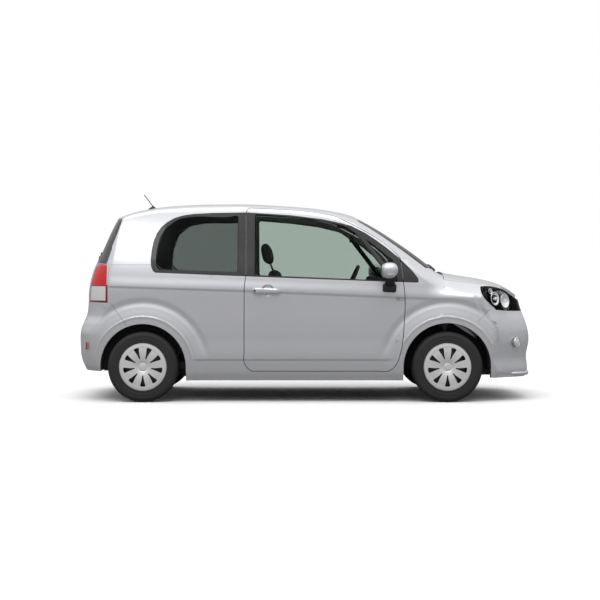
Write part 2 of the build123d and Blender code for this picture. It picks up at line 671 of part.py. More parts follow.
def cover():
    face = -TYRE_WIDTH / 2 + 4
    seat_y = rim_cone(COVER_RADIUS) - JOINT_PLAY
    disc = revolved([(0, face - 6), (40, face - 4), (COVER_RADIUS - 30, face),
                     (COVER_RADIUS, seat_y - 5), (COVER_RADIUS, seat_y),
                     (COVER_RADIUS - 30, face + 5), (40, face + 4), (0, face + 4)])
    inner, tip = 0.36 * COVER_RADIUS, 0.83 * COVER_RADIUS
    slot = Wire.make_polygon([Vector(inner, 0, -8), Vector(tip, 0, -0.12 * COVER_RADIUS),
                              Vector(tip, 0, 0.12 * COVER_RADIUS), Vector(inner, 0, 8)],
                             close=True)
    cut = Pos(0, face - 30, 0) * Solid.extrude(Face(slot), Vector(0, 80, 0))
    for i in range(COVER_SLOTS):
        disc -= Rot(0, 90 + 360 / COVER_SLOTS * i, 0) * cut
    return disc


wheel_places = {"front_right": (FRONT_AXLE, -1), "front_left": (FRONT_AXLE, 1),
                "rear_right": (REAR_AXLE, -1), "rear_left": (REAR_AXLE, 1)}
tyre_shape, wheel_shape, cover_shape = tyre(), wheel(), cover()
for name, (axle, side) in wheel_places.items():
    for piece, shape in (("tyre", tyre_shape), ("wheel", wheel_shape), ("cover", cover_shape)):
        turned = shape if side < 0 else mirror(shape, about=Plane.XZ)
        parts[piece + "_" + name] = Pos(axle, side * WHEEL_Y, AXLE_HEIGHT) * turned

# ---------------------------------------------------------------- front suspension
STUB_RADIUS = HUB_BORE - JOINT_PLAY
HUB_END = WHEEL_Y + WHEEL_OFFSET - 60      # inner face of the hub, from the middle plane
STRUT_Y = -596.0
ARM_TOP = 205.0


TOP_STUD = 11.0
BALL_STUD = 12.0


def king_stud(low, high, radius):
    """Round stud on the axis the front wheel steers about, with no part outside the two levels."""
    king = Vector(*KING_HIGH) - Vector(*KING_LOW)
    axis = king.normalized()
    tip = radius * axis.Y
    start = Vector(*KING_LOW) + king * ((low + tip - KING_LOW[2]) / king.Z)
    end = Vector(*KING_LOW) + king * ((high - tip - KING_LOW[2]) / king.Z)
    return Plane(origin=(start + end) / 2, z_dir=axis) * Cylinder(radius, (end - start).length)


def make_knuckle():
    face = -HUB_END + JOINT_PLAY
    stub = rod(FRONT_AXLE, face - 26, AXLE_HEIGHT, STUB_RADIUS, 56, (0, 1, 0))
    upright = block(FRONT_AXLE - 38, FRONT_AXLE + 38, face, face + 30, 215, 400)
    neck = block(FRONT_AXLE - 22, FRONT_AXLE + 22, face, STRUT_Y, 372, 400)
    tube = rod(FRONT_AXLE, STRUT_Y, 560, 25, 400)
    top_stud = king_stud(740, TOWER_TOP, TOP_STUD)
    spring = rod(FRONT_AXLE, STRUT_Y, 690, 54, 112)
    ball = king_stud(ARM_TOP + JOINT_PLAY, 232, BALL_STUD)
    return stub + upright + neck + tube + spring + top_stud + ball


knuckle_right = make_knuckle()


def make_subframe():
    side = block(1010, 1700, -395, -325, ARM_TOP, 265)
    arm = Wire.make_polygon([Vector(1030, -350, 0), Vector(1180, -705, 0),
                             Vector(1245, -705, 0), Vector(1320, -350, 0)], close=True)
    side += Pos(0, 0, ARM_TOP - 24) * Solid.extrude(Face(arm), Vector(0, 0, 24))
    for x in (1045, 1665):
        side += rod(x, -385, (265 + RAIL_FOOT) / 2, 22, RAIL_FOOT - 265)
    frame = block(1010, 1110, -330, 330, ARM_TOP, 265) + block(1640, 1700, -330, 330, ARM_TOP, 265)
    return frame + mirrored(side)


front_subframe = make_subframe()
REAR_HUB_END = WHEEL_Y + WHEEL_OFFSET - 60


def make_rear_axle():
    beam = block(-1210, -1150, -560, 560, 262, 330) - block(-1200, -1160, -540, 540, 250, 318)
    side = block(-1420, BEAM_PIVOT, -597, -553, 272, 332)
    side += rod(BEAM_PIVOT, -575, 302, 34, 60, (0, 1, 0))
    side += block(-1425, -1350, -REAR_HUB_END + JOINT_PLAY, -597, 262, 342)
    side += rod(REAR_AXLE, -REAR_HUB_END - 26 + JOINT_PLAY, AXLE_HEIGHT, STUB_RADIUS, 56,
                (0, 1, 0))
    spring_top = BOOT_FLOOR - FLOOR_SHEET
    side += rod(-1290, -540, (320 + spring_top) / 2, 45, spring_top - 320)
    side += block(BEAM_PIVOT - 20, BEAM_PIVOT + 20, -590, -560, 330, spring_top)
    return beam + mirrored(side)


rear_axle_beam = make_rear_axle()

# ---------------------------------------------------------------- engine, tank, exhaust
engine = block(1140, 1620, -325, 350, 265, 840)
tank_top = BOOT_FLOOR - FLOOR_SHEET - JOINT_PLAY
fuel_tank = block(-1130, -790, -400, 200, 190, tank_top)
fuel_tank = fillet(fuel_tank.edges().filter_by(Axis.Z) + fuel_tank.faces().sort_by(Axis.Z)[0].edges(), 30)
exhaust = rod(-450, 320, 225, 22, 2320, (1, 0, 0)) + block(-1850, -1600, 120, 520, 205, 345)
exhaust += block(-1760, -1700, 300, 340, 345, BOOT_FLOOR - FLOOR_SHEET)
exhaust += block(380, 420, 305, 335, 225, FLOOR - FLOOR_SHEET)

# ---------------------------------------------------------------- cabin
STEER_Y = -370.0
WHEEL_TILT = 24.0
STEERING_CENTRE = (400.0, STEER_Y, 1000.0)
COLUMN = (cos(radians(WHEEL_TILT)), 0, -sin(radians(WHEEL_TILT)))


def along_column(distance):
    """Point on the steering column, forward of the steering wheel's centre."""
    return tuple(c + distance * d for c, d in zip(STEERING_CENTRE, COLUMN))


def make_dashboard():
    front = BULKHEAD - FLOOR_SHEET
    section = [[(560, 740), (545, 860), (600, 1000), (680, 1030)],
               [(680, 1030), (front, 1015)], [(front, 1015), (front, 760)],
               [(front, 760), (700, 700)], [(700, 700), (560, 740)]]
    wires = [outline_wire(section, lambda x, z, y=y: (x, y, z)) for y in (-725, 725)]
    board = Solid.make_loft(wires, ruled=True)
    near, far = 17 + JOINT_PLAY, 220
    column = Plane(origin=along_column((near + far) / 2), z_dir=COLUMN) * Cylinder(28, far - near)
    return board + column


dashboard = make_dashboard()


def make_steering_wheel():
    rim = [(193, 0), (188, 11), (178, 15), (168, 11), (163, 0), (168, -11), (178, -15), (188, -11)]
    face = Face(Wire.make_polygon([Vector(r, 0, z) for r, z in rim], close=True))
    ring = Solid.revolve(face, 360, Axis.Z)
    spokes = Box(340, 44, 16) + Pos(0, -85, 0) * Box(44, 170, 16)
    place = Plane(origin=STEERING_CENTRE, z_dir=tuple(-c for c in COLUMN), x_dir=(0, 1, 0))
    return place * (ring + Cylinder(58, 34) + spokes)


steering_wheel = make_steering_wheel()


def padded_block(depth, width, height, radius):
    shape = Box(depth, width, height)
    return fillet(shape.edges(), radius)


def seat(y, width):
    cushion = Pos(120, y, 530) * padded_block(500, width, 120, 45)
    back = Pos(-190, y, 860) * Rot(0, -20, 0) * padded_block(110, width - 40, 600, 45)
    head = Pos(-335, y, 1265) * Rot(0, -12, 0) * padded_block(90, 250, 190, 40)
    post = Pos(-300, y, 1165) * Rot(0, -20, 0) * Box(14, 120, 90)
    frame = block(-120, 360, y - width / 2 + 40, y + width / 2 - 40, FLOOR, 470)
    return cushion + back + head + post + frame


front_seats = Compound(list(seat(STEER_Y, 500).solids()) + list(seat(-STEER_Y, 500).solids()))
rear_seat = Pos(-715, 0, (BOOT_FLOOR + 600) / 2) * padded_block(470, 1200, 600 - BOOT_FLOOR, 45)
rear_seat += Pos(-985, 0, 860) * Rot(0, -18, 0) * padded_block(120, 1160, 560, 45)
rear_seat += block(-940, -500, -540, 540, BOOT_FLOOR, BOOT_FLOOR + 60)

# ---------------------------------------------------------------- outside fittings
MIRROR_X = 706.0


def make_mirror():
    """Rounded shell on a short foot at the front corner of the door."""
    shell = Pos(MIRROR_X, -945, 1125) * Box(150, 190, 140)
    shell = fillet(shell.edges(), 40)
    foot = block(660, 776, -862, -800, 940, 1012)
    stalk = block(690, 756, -900, -800, 985, 1075)
    return shell + ((foot + stalk) - (Pos(0, -JOINT_PLAY, 0) * side_outer))


mirror_right = make_mirror()


def make_wipers():
    """Two arms that park along the foot of the windshield, on their pivots."""
    arms = None
    for y0, y1 in ((-590, -30), (-20, 540)):
        length = y1 - y0
        x = 1120 if abs(y0) > 100 else 1165
        level = max(top(x - 8, y0), top(x - 8, y1), top(x - 8, (y0 + y1) / 2)) - GLASS_DROP + 1
        blade = block(x - 8, x + 8, y0, y1, level, level + 14)
        pivot_x = HOOD_REAR - 35.5
        blade += block(x, pivot_x + 5, y1 - 14, y1, level, level + 10)
        blade += rod(pivot_x, y1 - 7, (COWL + level + 10) / 2, 5.5, level + 10 - COWL)
        arms = blade if arms is None else Compound(list(arms.solids()) + list(blade.solids()))
    return arms


wipers = make_wipers()
antenna_foot = top(-1365, 0)
antenna = rod(-1421, 0, antenna_foot + 75, 4, 190, (-0.6, 0, 0.8)) + rod(-1365, 0, antenna_foot + 6, 16, 12)
antenna -= top_outer

parts.update({
    "underbody": underbody, "side_panel_right": side_panel_right,
    "side_panel_left": mirror(side_panel_right, about=Plane.XZ), "roof_panel": roof_panel,
    "front_fenders": both_sides(fender_right), "hood": hood, "front_bumper": front_bumper,
    "rear_bumper": rear_bumper, "windshield": windshield,
    "quarter_glass": both_sides(quarter_right), "headlamps": both_sides(headlamp),
    "tail_lamps": both_sides(tail_lamp), "front_subframe": front_subframe,
    "rear_axle_beam": rear_axle_beam, "engine": engine, "fuel_tank": fuel_tank,
    "exhaust": exhaust, "dashboard": dashboard, "front_seats": front_seats,
    "rear_seat": rear_seat, "wipers": wipers, "antenna": antenna,
    "door_right": door_right, "door_left": mirror(door_right, about=Plane.XZ),
    "door_glass_right": door_glass_right,
    "door_glass_left": mirror(door_glass_right, about=Plane.XZ),
    "mirror_right": mirror_right, "mirror_left": mirror(mirror_right, about=Plane.XZ),
    "tailgate": tailgate, "tailgate_glass": tailgate_glass,
    "knuckle_right": knuckle_right, "knuckle_left": mirror(knuckle_right, about=Plane.XZ),
    "steering_wheel": steering_wheel})

os.makedirs("parts", exist_ok=True)
for name, shape in parts.items():
    export_step(shape, "parts/" + name + ".step")
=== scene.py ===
import bpy
import bmesh
import json
from math import atan2, cos, hypot, pi, radians, sin, sqrt
from mathutils import Matrix, Vector

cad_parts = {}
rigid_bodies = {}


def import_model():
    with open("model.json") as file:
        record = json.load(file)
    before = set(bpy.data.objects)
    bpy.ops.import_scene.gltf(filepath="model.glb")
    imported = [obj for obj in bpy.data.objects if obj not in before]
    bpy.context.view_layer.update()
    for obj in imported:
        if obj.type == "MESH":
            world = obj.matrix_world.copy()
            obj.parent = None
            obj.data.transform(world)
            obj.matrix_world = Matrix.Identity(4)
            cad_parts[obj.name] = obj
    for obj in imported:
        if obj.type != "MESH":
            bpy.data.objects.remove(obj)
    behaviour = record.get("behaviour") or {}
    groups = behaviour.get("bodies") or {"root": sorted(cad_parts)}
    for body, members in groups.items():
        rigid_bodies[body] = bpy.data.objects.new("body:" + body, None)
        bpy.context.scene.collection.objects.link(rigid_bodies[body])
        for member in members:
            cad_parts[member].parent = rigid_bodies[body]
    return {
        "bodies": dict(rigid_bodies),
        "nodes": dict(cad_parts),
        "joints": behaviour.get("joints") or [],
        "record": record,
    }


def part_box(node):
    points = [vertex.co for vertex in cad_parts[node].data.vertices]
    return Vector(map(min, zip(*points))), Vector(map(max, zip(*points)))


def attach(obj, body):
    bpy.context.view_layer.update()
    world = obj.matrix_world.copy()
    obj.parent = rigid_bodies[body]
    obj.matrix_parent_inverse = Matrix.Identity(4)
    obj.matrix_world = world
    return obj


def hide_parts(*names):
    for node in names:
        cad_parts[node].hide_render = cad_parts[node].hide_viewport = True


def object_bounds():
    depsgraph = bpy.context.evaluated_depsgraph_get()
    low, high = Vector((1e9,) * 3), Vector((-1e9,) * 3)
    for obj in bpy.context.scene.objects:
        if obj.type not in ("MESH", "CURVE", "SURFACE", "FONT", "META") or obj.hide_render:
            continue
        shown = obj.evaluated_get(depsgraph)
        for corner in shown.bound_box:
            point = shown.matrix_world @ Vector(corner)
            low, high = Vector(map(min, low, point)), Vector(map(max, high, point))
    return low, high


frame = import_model()
nodes = frame["nodes"]
low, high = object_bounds()
cad_box = [list(low), list(high)]

# ---- Paint
# Silver basecoat with metal flake under clear lacquer, sprayed on every panel, the plastic
# bumpers and the mirror shells. Round the side windows a black film is stuck over it.

class Value:
    """A number, colour or vector in a finish; a sum on numbers adds its Math node."""

    def __init__(self, finish, socket):
        self.finish = finish
        self.socket = socket

    def sum(self, operation, *terms):
        return self.finish.node("ShaderNodeMath", {"operation": operation},
                                dict(enumerate(terms)))

    def __add__(self, other):
        return self.sum("ADD", self, other)

    def __radd__(self, other):
        return self.sum("ADD", other, self)

    def __sub__(self, other):
        return self.sum("SUBTRACT", self, other)

    def __rsub__(self, other):
        return self.sum("SUBTRACT", other, self)

    def __mul__(self, other):
        return self.sum("MULTIPLY", self, other)

    def __rmul__(self, other):
        return self.sum("MULTIPLY", other, self)

    def __pow__(self, other):
        return self.sum("POWER", self, other)

    def larger(self, other):
        return self.sum("MAXIMUM", self, other)

    def wave(self):
        """Sine of the number, from 0 to 1."""
        return 0.5 + 0.5 * self.sum("SINE", self)

    def step(self, start, end):
        """0 before start, 1 after end, eased between them."""
        return self.finish.node("ShaderNodeMapRange", {"interpolation_type": "SMOOTHSTEP"},
                                {"Value": self, "From Min": start, "From Max": end})


class Nodes:
    """The nodes of a material or of the sky."""

    def __init__(self, owner):
        owner.use_nodes = True
        self.tree = owner.node_tree

    def plug(self, socket, value):
        if isinstance(value, Value):
            self.tree.links.new(value.socket, socket)
        elif socket.type == "RGBA" and len(value) == 3:
            socket.default_value = (*value, 1)
        else:
            socket.default_value = value

    def node(self, kind, settings=None, sockets=None, out=0):
        made = self.tree.nodes.new(kind)
        for name, setting in (settings or {}).items():
            setattr(made, name, setting)
        for name, value in (sockets or {}).items():
            self.plug(made.inputs[name], value)
        return Value(self, made.outputs[out])


class Finish(Nodes):
    """A procedural material whose surface is one Principled shader."""

    def __init__(self, name):
        self.material = bpy.data.materials.new(name)
        super().__init__(self.material)
        self.shader = self.tree.nodes["Principled BSDF"]
        self.output = self.tree.nodes["Material Output"]

    def place(self):
        """Where a point is on the vehicle, in metres."""
        return self.node("ShaderNodeTexCoord", out="Object")

    def along(self, axis):
        return self.node("ShaderNodeSeparateXYZ", {}, {"Vector": self.place()}, out=axis)

    def mark(self, name):
        """A number kept on the piece's points."""
        return self.node("ShaderNodeAttribute", {"attribute_name": name}, out="Fac")

    def noise(self, scale, detail=2.0):
        return self.node("ShaderNodeTexNoise", {},
                         {"Vector": self.place(), "Scale": scale, "Detail": detail})

    def cells(self, scale, out="Distance"):
        return self.node("ShaderNodeTexVoronoi", {},
                         {"Vector": self.place(), "Scale": scale}, out=out)

    def mix(self, share, a, b):
        return self.node("ShaderNodeMix", {"data_type": "RGBA"}, {0: share, 6: a, 7: b}, out=2)

    def bump(self, height, depth):
        return self.node("ShaderNodeBump", {},
                         {"Height": height, "Distance": depth, "Strength": 1.0})

    def surface(self, **sockets):
        for name, value in sockets.items():
            label = name.replace("_", " ").title().replace("Ior", "IOR")
            self.plug(self.shader.inputs[label], value)
        return self


def dress(pieces, *finishes):
    """Gives CAD nodes, by name, or pieces their finishes, one to each material index."""
    for piece in pieces:
        item = nodes[piece] if isinstance(piece, str) else piece
        if item.data.materials:
            item.data.materials.clear()
        for finish in finishes:
            item.data.materials.append(finish.material)


FILM_BLACK = (0.012, 0.012, 0.013)
SEAM_BLACK = (0.02, 0.02, 0.02)
# Joints between panels that are one solid here: (x, z) in metres from start to end.
SEAMS = (((-1.668, 1.174), (-1.322, 1.174)), ((-1.667, 0.850), (-1.525, 0.655)),
         ((1.588, 0.796), (1.466, 0.686)))
SEAM_EASE = 0.001            # a seam's ends fade over this length


def make_paint():
    paint = Finish("silver_paint")
    flake = paint.node("ShaderNodeSeparateColor", {}, {"Color": paint.cells(700, out="Color")})
    cloud = paint.noise(1.3)
    film = paint.mark("film").step(0.0, 1.0)
    silver = paint.mix(flake * 0.5 + cloud * 0.5, (0.66, 0.665, 0.695), (0.73, 0.735, 0.765))
    seams = 1.0
    for start, end in SEAMS:
        run = Vector(end) - Vector(start)
        reach = run.length
        run.normalize()
        ahead = (paint.along(0) - start[0]) * run.x + (paint.along(2) - start[1]) * run.y
        off = (paint.along(2) - start[1]) * run.x - (paint.along(0) - start[0]) * run.y
        line = (1 - (off * off).step(0.0000012, 0.0000040)) * ahead.step(0.0, SEAM_EASE)
        line = line * (1 - ahead.step(reach - SEAM_EASE, reach))
        side = (paint.along(1) * paint.along(1)).step(0.36, 0.361)
        seams = seams * (1 - 0.72 * line * side)
    silver = paint.mix(seams, SEAM_BLACK, silver)
    return paint.surface(base_color=paint.mix(film, silver, FILM_BLACK),
                         metallic=0.7 * (1 - film), roughness=0.30 + 0.08 * flake,
                         coat_weight=0.6, coat_roughness=0.05,
                         normal=paint.bump(paint.noise(240, 1.0), 0.00002))


silver_paint = make_paint()

# ---- Body skin
# Pressed steel and moulded bumper skins. The pressing has a shoulder crease, a raised lip
# round each wheel arch and a ridge above the sill; each panel is refined from its CAD solid
# and its outer points are laid on that pressed shape.

MM = 0.001
LENGTH, WIDTH, HEIGHT = 3995.0, 1695.0, 1726.0
NOSE_X, TAIL_X, HALF = LENGTH / 2, -LENGTH / 2, WIDTH / 2
FRONT_AXLE = NOSE_X - 785.0
REAR_AXLE = FRONT_AXLE - 2600.0
AXLE_HEIGHT = 302.0


def smooth(t):
    t = min(1.0, max(0.0, t))
    return t * t * (3 - 2 * t)


def curve(stations):
    """Smooth shape-keeping curve through (place, value) stations."""
    xs = [s[0] for s in stations]
    ys = [s[1] for s in stations]
    n = len(xs)
    step = [xs[i + 1] - xs[i] for i in range(n - 1)]
    rise = [(ys[i + 1] - ys[i]) / step[i] for i in range(n - 1)]
    slope = [rise[0]]
    for i in range(1, n - 1):
        if rise[i - 1] * rise[i] <= 0:
            slope.append(0.0)
        else:
            a = 2 * step[i] + step[i - 1]
            b = step[i] + 2 * step[i - 1]
            slope.append((a + b) / (a / rise[i - 1] + b / rise[i]))
    slope.append(rise[-1])

    def value(x):
        if x <= xs[0]:
            return ys[0] + slope[0] * (x - xs[0])
        if x >= xs[-1]:
            return ys[-1] + slope[-1] * (x - xs[-1])
        i = 0
        while xs[i + 1] < x:
            i += 1
        t = (x - xs[i]) / step[i]
        return ((2 * t ** 3 - 3 * t ** 2 + 1) * ys[i]
                + (t ** 3 - 2 * t ** 2 + t) * step[i] * slope[i]
                + (3 * t ** 2 - 2 * t ** 3) * ys[i + 1]
                + (t ** 3 - t ** 2) * step[i] * slope[i + 1])

    return value


centre_line = curve([
    (TAIL_X - 100, HEIGHT - 256), (-1900, HEIGHT - 186), (-1648, HEIGHT - 118),
    (-1482, HEIGHT - 63), (-1212, HEIGHT - 20), (-834, HEIGHT - 1), (-560, HEIGHT),
    (-186, HEIGHT - 17), (137, HEIGHT - 45), (300, HEIGHT - 71), (430, HEIGHT - 106),
    (560, HEIGHT - 168), (893, 1348), (1109, 1190), (1205, 1124), (1330, 1095),
    (1565, 1057), (1700, 1024), (1800, 980), (1893, 908), (NOSE_X + 100, 680)])
crown = curve([
    (TAIL_X - 100, 60), (-1600, 50), (0, 45), (300, 58), (450, 75), (785, 85), (1100, 85),
    (1250, 62), (1600, 60), (1900, 75), (NOSE_X + 100, 90)])
side_section = curve([
    (100, HALF - 78), (185, HALF - 52), (260, HALF - 30), (370, HALF - 20),
    (600, HALF - 12), (850, HALF - 15), (960, HALF - 17), (1050, HALF - 26),
    (1300, HALF - 78), (1600, HALF - 142), (1800, HALF - 192)])
plan_inset = curve([
    (TAIL_X - 152, 560), (-1990, 300), (-1950, 205), (-1850, 92), (-1700, 26), (-1500, 4),
    (-1300, 0), (0, 0), (1250, 0), (1400, 6), (1600, 34), (1800, 117), (1900, 205),
    (1960, 300), (NOSE_X + 152, 700)])
nose_section = curve([
    (100, NOSE_X - 57), (224, NOSE_X - 32), (262, NOSE_X - 11), (370, NOSE_X - 23),
    (440, NOSE_X - 12), (520, NOSE_X), (590, NOSE_X - 5), (690, NOSE_X - 31),
    (775, NOSE_X - 67), (842, NOSE_X - 86), (910, NOSE_X - 104), (1100, NOSE_X - 167)])
tail_section = curve([
    (100, TAIL_X + 117), (263, TAIL_X + 61), (307, TAIL_X + 28), (437, TAIL_X + 2),
    (567, TAIL_X), (654, TAIL_X + 21), (740, TAIL_X + 59), (1001, TAIL_X + 82),
    (1131, TAIL_X + 117), (1304, TAIL_X + 198), (1478, TAIL_X + 278),
    (1608, TAIL_X + 349), (1800, TAIL_X + 457)])

FLARE = 12.0                 # how far the wheel arches stand out of the sides
FLARE_REACH = 540.0          # radius where the flare has died out
CREASE_OUT = 5.0             # how far the shoulder crease stands out
ARCH_STEP = 5.0              # depth of the hollow round the flare over each wheel
LIP_OUT = 2.5                # how far the rolled lip of an arch stands out
CUP_X, CUP_Z = -322, 956     # middle of the finger hollow behind a door handle
CUP_DEEP = 11.0
SILL_OUT = 7.0               # how far the ridge above the sill stands out


def half_width(x, z):
    w = side_section(z) - plan_inset(x)
    for axle in (FRONT_AXLE, REAR_AXLE):
        w += FLARE * smooth((FLARE_REACH - hypot(x - axle, z - AXLE_HEIGHT)) / 120)
    w -= 40 * smooth((z - 1150) / 450) * smooth((-700 - x) / 900)
    w -= 45 * smooth((z - 860) / 150) ** 2 * smooth((x - 1000) / 250)
    return w


def top(x, y):
    over_hood = smooth((x - 950) / 250)
    drop = crown(x) * (y / 700) ** 2
    drop += over_hood * 105 * (max(0.0, abs(y) - 640) / 200) ** 2
    drop += (1 - over_hood) * 22 * (max(0.0, abs(y) - 560) / 140) ** 2
    return centre_line(x) - drop


def end_bow(y, start, depth):
    return 50 * (y / 600) ** 2 + depth * (max(0.0, abs(y) - start) / 250) ** 2


def nose(y, z):
    return nose_section(z) - end_bow(y, 480, 190)


def tail(y, z):
    return tail_section(z) + 0.8 * end_bow(y, 520, 150)


def gradient(f, a, b):
    """Slopes of a surface formula along its two directions."""
    return (f(a + 2, b) - f(a - 2, b)) / 4, (f(a, b + 2) - f(a, b - 2)) / 4


def crease_level(x):
    """Height of the shoulder crease along the body."""
    return 992 - 0.0329 * (x + 1662) if x < -507 else 954 - 0.0411 * (x + 507)


def pressed_width(x, z):
    """Half width of the finished pressing."""
    w = half_width(x, z)
    below = crease_level(x) - z
    fade = smooth((1370 - x) / 420) * smooth((x + 1990) / 60)
    w += CREASE_OUT * fade * smooth((16 - below) / 20) * smooth((below + 95) / 80)
    for axle in (FRONT_AXLE, REAR_AXLE):
        r = hypot(x - axle, z - AXLE_HEIGHT)
        over = smooth((z - 330) / 160)
        w -= ARCH_STEP * over * smooth((600 - r) / 52) * smooth((r - 506) / 46)
        w += LIP_OUT * smooth((440 - r) / 12) * smooth((r - 408) / 20)
    ridge = smooth((x + 1010) / 120) * smooth((785 - x) / 120)
    cup = hypot((x - CUP_X) / 56, (z - CUP_Z) / 50)
    w -= CUP_DEEP * smooth((1.0 - cup) / 0.3)
    w += SILL_OUT * ridge * smooth((z - 352) / 20) * smooth((560 - z) / 190)
    return w


class Skin:
    """One of the four sheets that bound the body."""

    def __init__(self, depth, facing):
        self.depth = depth
        self.facing = facing


def side_of(number):
    return 1 if number > 0 else -1


def side_facing(p):
    wx, wz = gradient(pressed_width, p.x, p.z)
    return Vector((-wx, side_of(p.y), -wz)).normalized()


def top_facing(p):
    tx, ty = gradient(top, p.x, p.y)
    return Vector((-tx, -ty, 1)).normalized()


def nose_facing(p):
    ny, nz = gradient(nose, p.y, p.z)
    return Vector((1, -ny, -nz)).normalized()


def tail_facing(p):
    ty, tz = gradient(tail, p.y, p.z)
    return Vector((-1, ty, tz)).normalized()


SKINS = (Skin(lambda p: half_width(p.x, p.z) - abs(p.y), side_facing),
         Skin(lambda p: top(p.x, p.y) - p.z, top_facing),
         Skin(lambda p: nose(p.y, p.z) - p.x if p.x > 1300 else 999.0, nose_facing),
         Skin(lambda p: p.x - tail(p.y, p.z) if p.x < -1300 else 999.0, tail_facing))
SKIN_FIT = 8.0               # the CAD skin follows the formulas within this
CORNER = 16.0                # the panels' meeting edges are rounded over this width


def merged_copy(node):
    """A welded bmesh copy of a CAD node, in millimetres."""
    bm = bmesh.new()
    bm.from_mesh(nodes[node].data)
    bmesh.ops.scale(bm, vec=(1000, 1000, 1000), verts=bm.verts)
    bmesh.ops.remove_doubles(bm, verts=bm.verts, dist=0.02)
    return bm


def outer_sheet(face):
    """Which body skin a face belongs to, -1 for inner walls, lower for a rounded corner."""
    centre = face.calc_center_median()
    for number, skin in enumerate(SKINS):
        if abs(skin.depth(centre)) < SKIN_FIT and face.normal.dot(skin.facing(centre)) > 0.72:
            return number
    near = [(abs(skin.depth(centre)), number) for number, skin in enumerate(SKINS)]
    total = corner_facing(centre)
    if total.length > 0 and face.normal.dot(total.normalized()) > 0.55:
        return -2 - min(near)[1]
    return -1


def corner_facing(p):
    """The outward direction at a point, rounded where two skins meet."""
    total = Vector()
    for skin in SKINS:
        share = 1 - abs(skin.depth(p)) / CORNER
        if share > 0:
            total += skin.facing(p) * share
    return total


def refine(bm, sheet, length_at, rounds=6):
    """Halves the long edges of the outer skin until they are short enough."""
    for _ in range(rounds):
        edges = {e for f in bm.faces if f[sheet] >= 0 for e in f.edges}
        long = [e for e in edges
                if e.calc_length() > length_at((e.verts[0].co + e.verts[1].co) / 2)]
        if not long:
            break
        bmesh.ops.subdivide_edges(bm, edges=long, cuts=1)
        bmesh.ops.triangulate(bm, faces=[f for f in bm.faces if len(f.verts) > 3])


NEAR = 28.0                  # the mesh is fine this close to an edge or a pressed line


def skin_step(p):
    """Edge length that the outer skin needs at a point."""
    if sorted(abs(skin.depth(p)) for skin in SKINS)[1] < NEAR:
        return 13.0
    if abs(p.y) < 600:
        return 48.0
    near = abs(crease_level(p.x) - p.z) if p.x < 1400 else 99
    if hypot(p.x - CUP_X, p.z - CUP_Z) < 75:
        return 9.0
    for axle in (FRONT_AXLE, REAR_AXLE):
        r = hypot(p.x - axle, p.z - AXLE_HEIGHT)
        near = min(near, max(0, abs(r - 553) - 47), abs(r - 425))
    if -1000 < p.x < 900:
        near = min(near, abs(p.z - 365))
    if p.z > 1000:
        near = min(near, abs(inside_by(FILM_OUTLINE, p.x, p.z)))
    return 34.0 if near > NEAR else 14.0


# The black film's edge round the side windows, as (x, z).
FILM_OUTLINE = [(-1283, 1106), (-515, 1075), (492, 1037), (955, 1021), (968, 1030), (964, 1060),
                (912, 1126), (811, 1228), (692, 1326), (605, 1390), (518, 1449), (393, 1512),
                (274, 1542), (142, 1570), (-123, 1603), (-505, 1628), (-800, 1623),
                (-962, 1615), (-1055, 1602), (-1130, 1579), (-1190, 1545), (-1240, 1502),
                (-1278, 1448), (-1304, 1380), (-1319, 1300), (-1326, 1220), (-1320, 1160),
                (-1305, 1122)]


def inside_by(outline, x, z):
    """Distance inside a closed outline, negative outside."""
    best, inside = 1e9, False
    for (x0, z0), (x1, z1) in zip(outline, outline[1:] + outline[:1]):
        dx, dz = x1 - x0, z1 - z0
        t = min(1.0, max(0.0, ((x - x0) * dx + (z - z0) * dz) / (dx * dx + dz * dz)))
        best = min(best, hypot(x - x0 - t * dx, z - z0 - t * dz))
        if (z0 > z) != (z1 > z) and x < x0 + dx * (z - z0) / dz:
            inside = not inside
    return best if inside else -best


def add_piece(name, bm, body, finish=None, replaced=()):
    """Makes the object, in metres, ties it to its CAD body and gives it its finish."""
    bmesh.ops.scale(bm, vec=(MM, MM, MM), verts=bm.verts)
    mesh = bpy.data.meshes.new(name)
    bm.to_mesh(mesh)
    bm.free()
    piece = bpy.data.objects.new(name, mesh)
    bpy.context.scene.collection.objects.link(piece)
    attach(piece, body)
    if replaced:
        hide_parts(*replaced)
    if finish:
        dress([piece], finish)
    return piece


def round_all(bm):
    for f in bm.faces:
        f.smooth = True


def face_out(bm):
    bmesh.ops.recalc_face_normals(bm, faces=bm.faces)


def points_of(grown):
    return [g for g in grown["geom"] if isinstance(g, bmesh.types.BMVert)]


def tube(bm, rings, sides, square=2.0):
    """Closed tube through rings, each a centre, a half width vector and a half height one."""
    made = bmesh.new()
    circle = bmesh.ops.create_circle(made, segments=sides, radius=1)["verts"]
    current = list(circle)
    edges = made.edges[:]

    def settle(verts, ring):
        centre, across, up = (Vector(part) for part in ring)
        for i, v in enumerate(verts):
            a = 2 * pi * i / sides
            c, s = cos(a), sin(a)
            v.co = (centre + across * (abs(c) ** (2 / square)) * side_of(c)
                    + up * (abs(s) ** (2 / square)) * side_of(s))

    settle(current, rings[0])
    first = list(current)
    for ring in rings[1:]:
        grown = bmesh.ops.extrude_edge_only(made, edges=edges)
        points = points_of(grown)
        edges = [g for g in grown["geom"] if isinstance(g, bmesh.types.BMEdge)
                 and all(v in points for v in g.verts)]
        spots = {tuple(round(c, 5) for c in v.co): v for v in points}
        current = [spots[tuple(round(c, 5) for c in v.co)] for v in current]
        settle(current, ring)
    for end in (first, current):
        made.faces.new(end)
    face_out(made)
    round_all(made)
    join_into(bm, made)


def upright(*rows):
    """Rings of an upright tube, from rows of x, y, z, half length and half width."""
    return [((x, y, z), (a, 0, 0), (0, b, 0)) for x, y, z, a, b in rows]


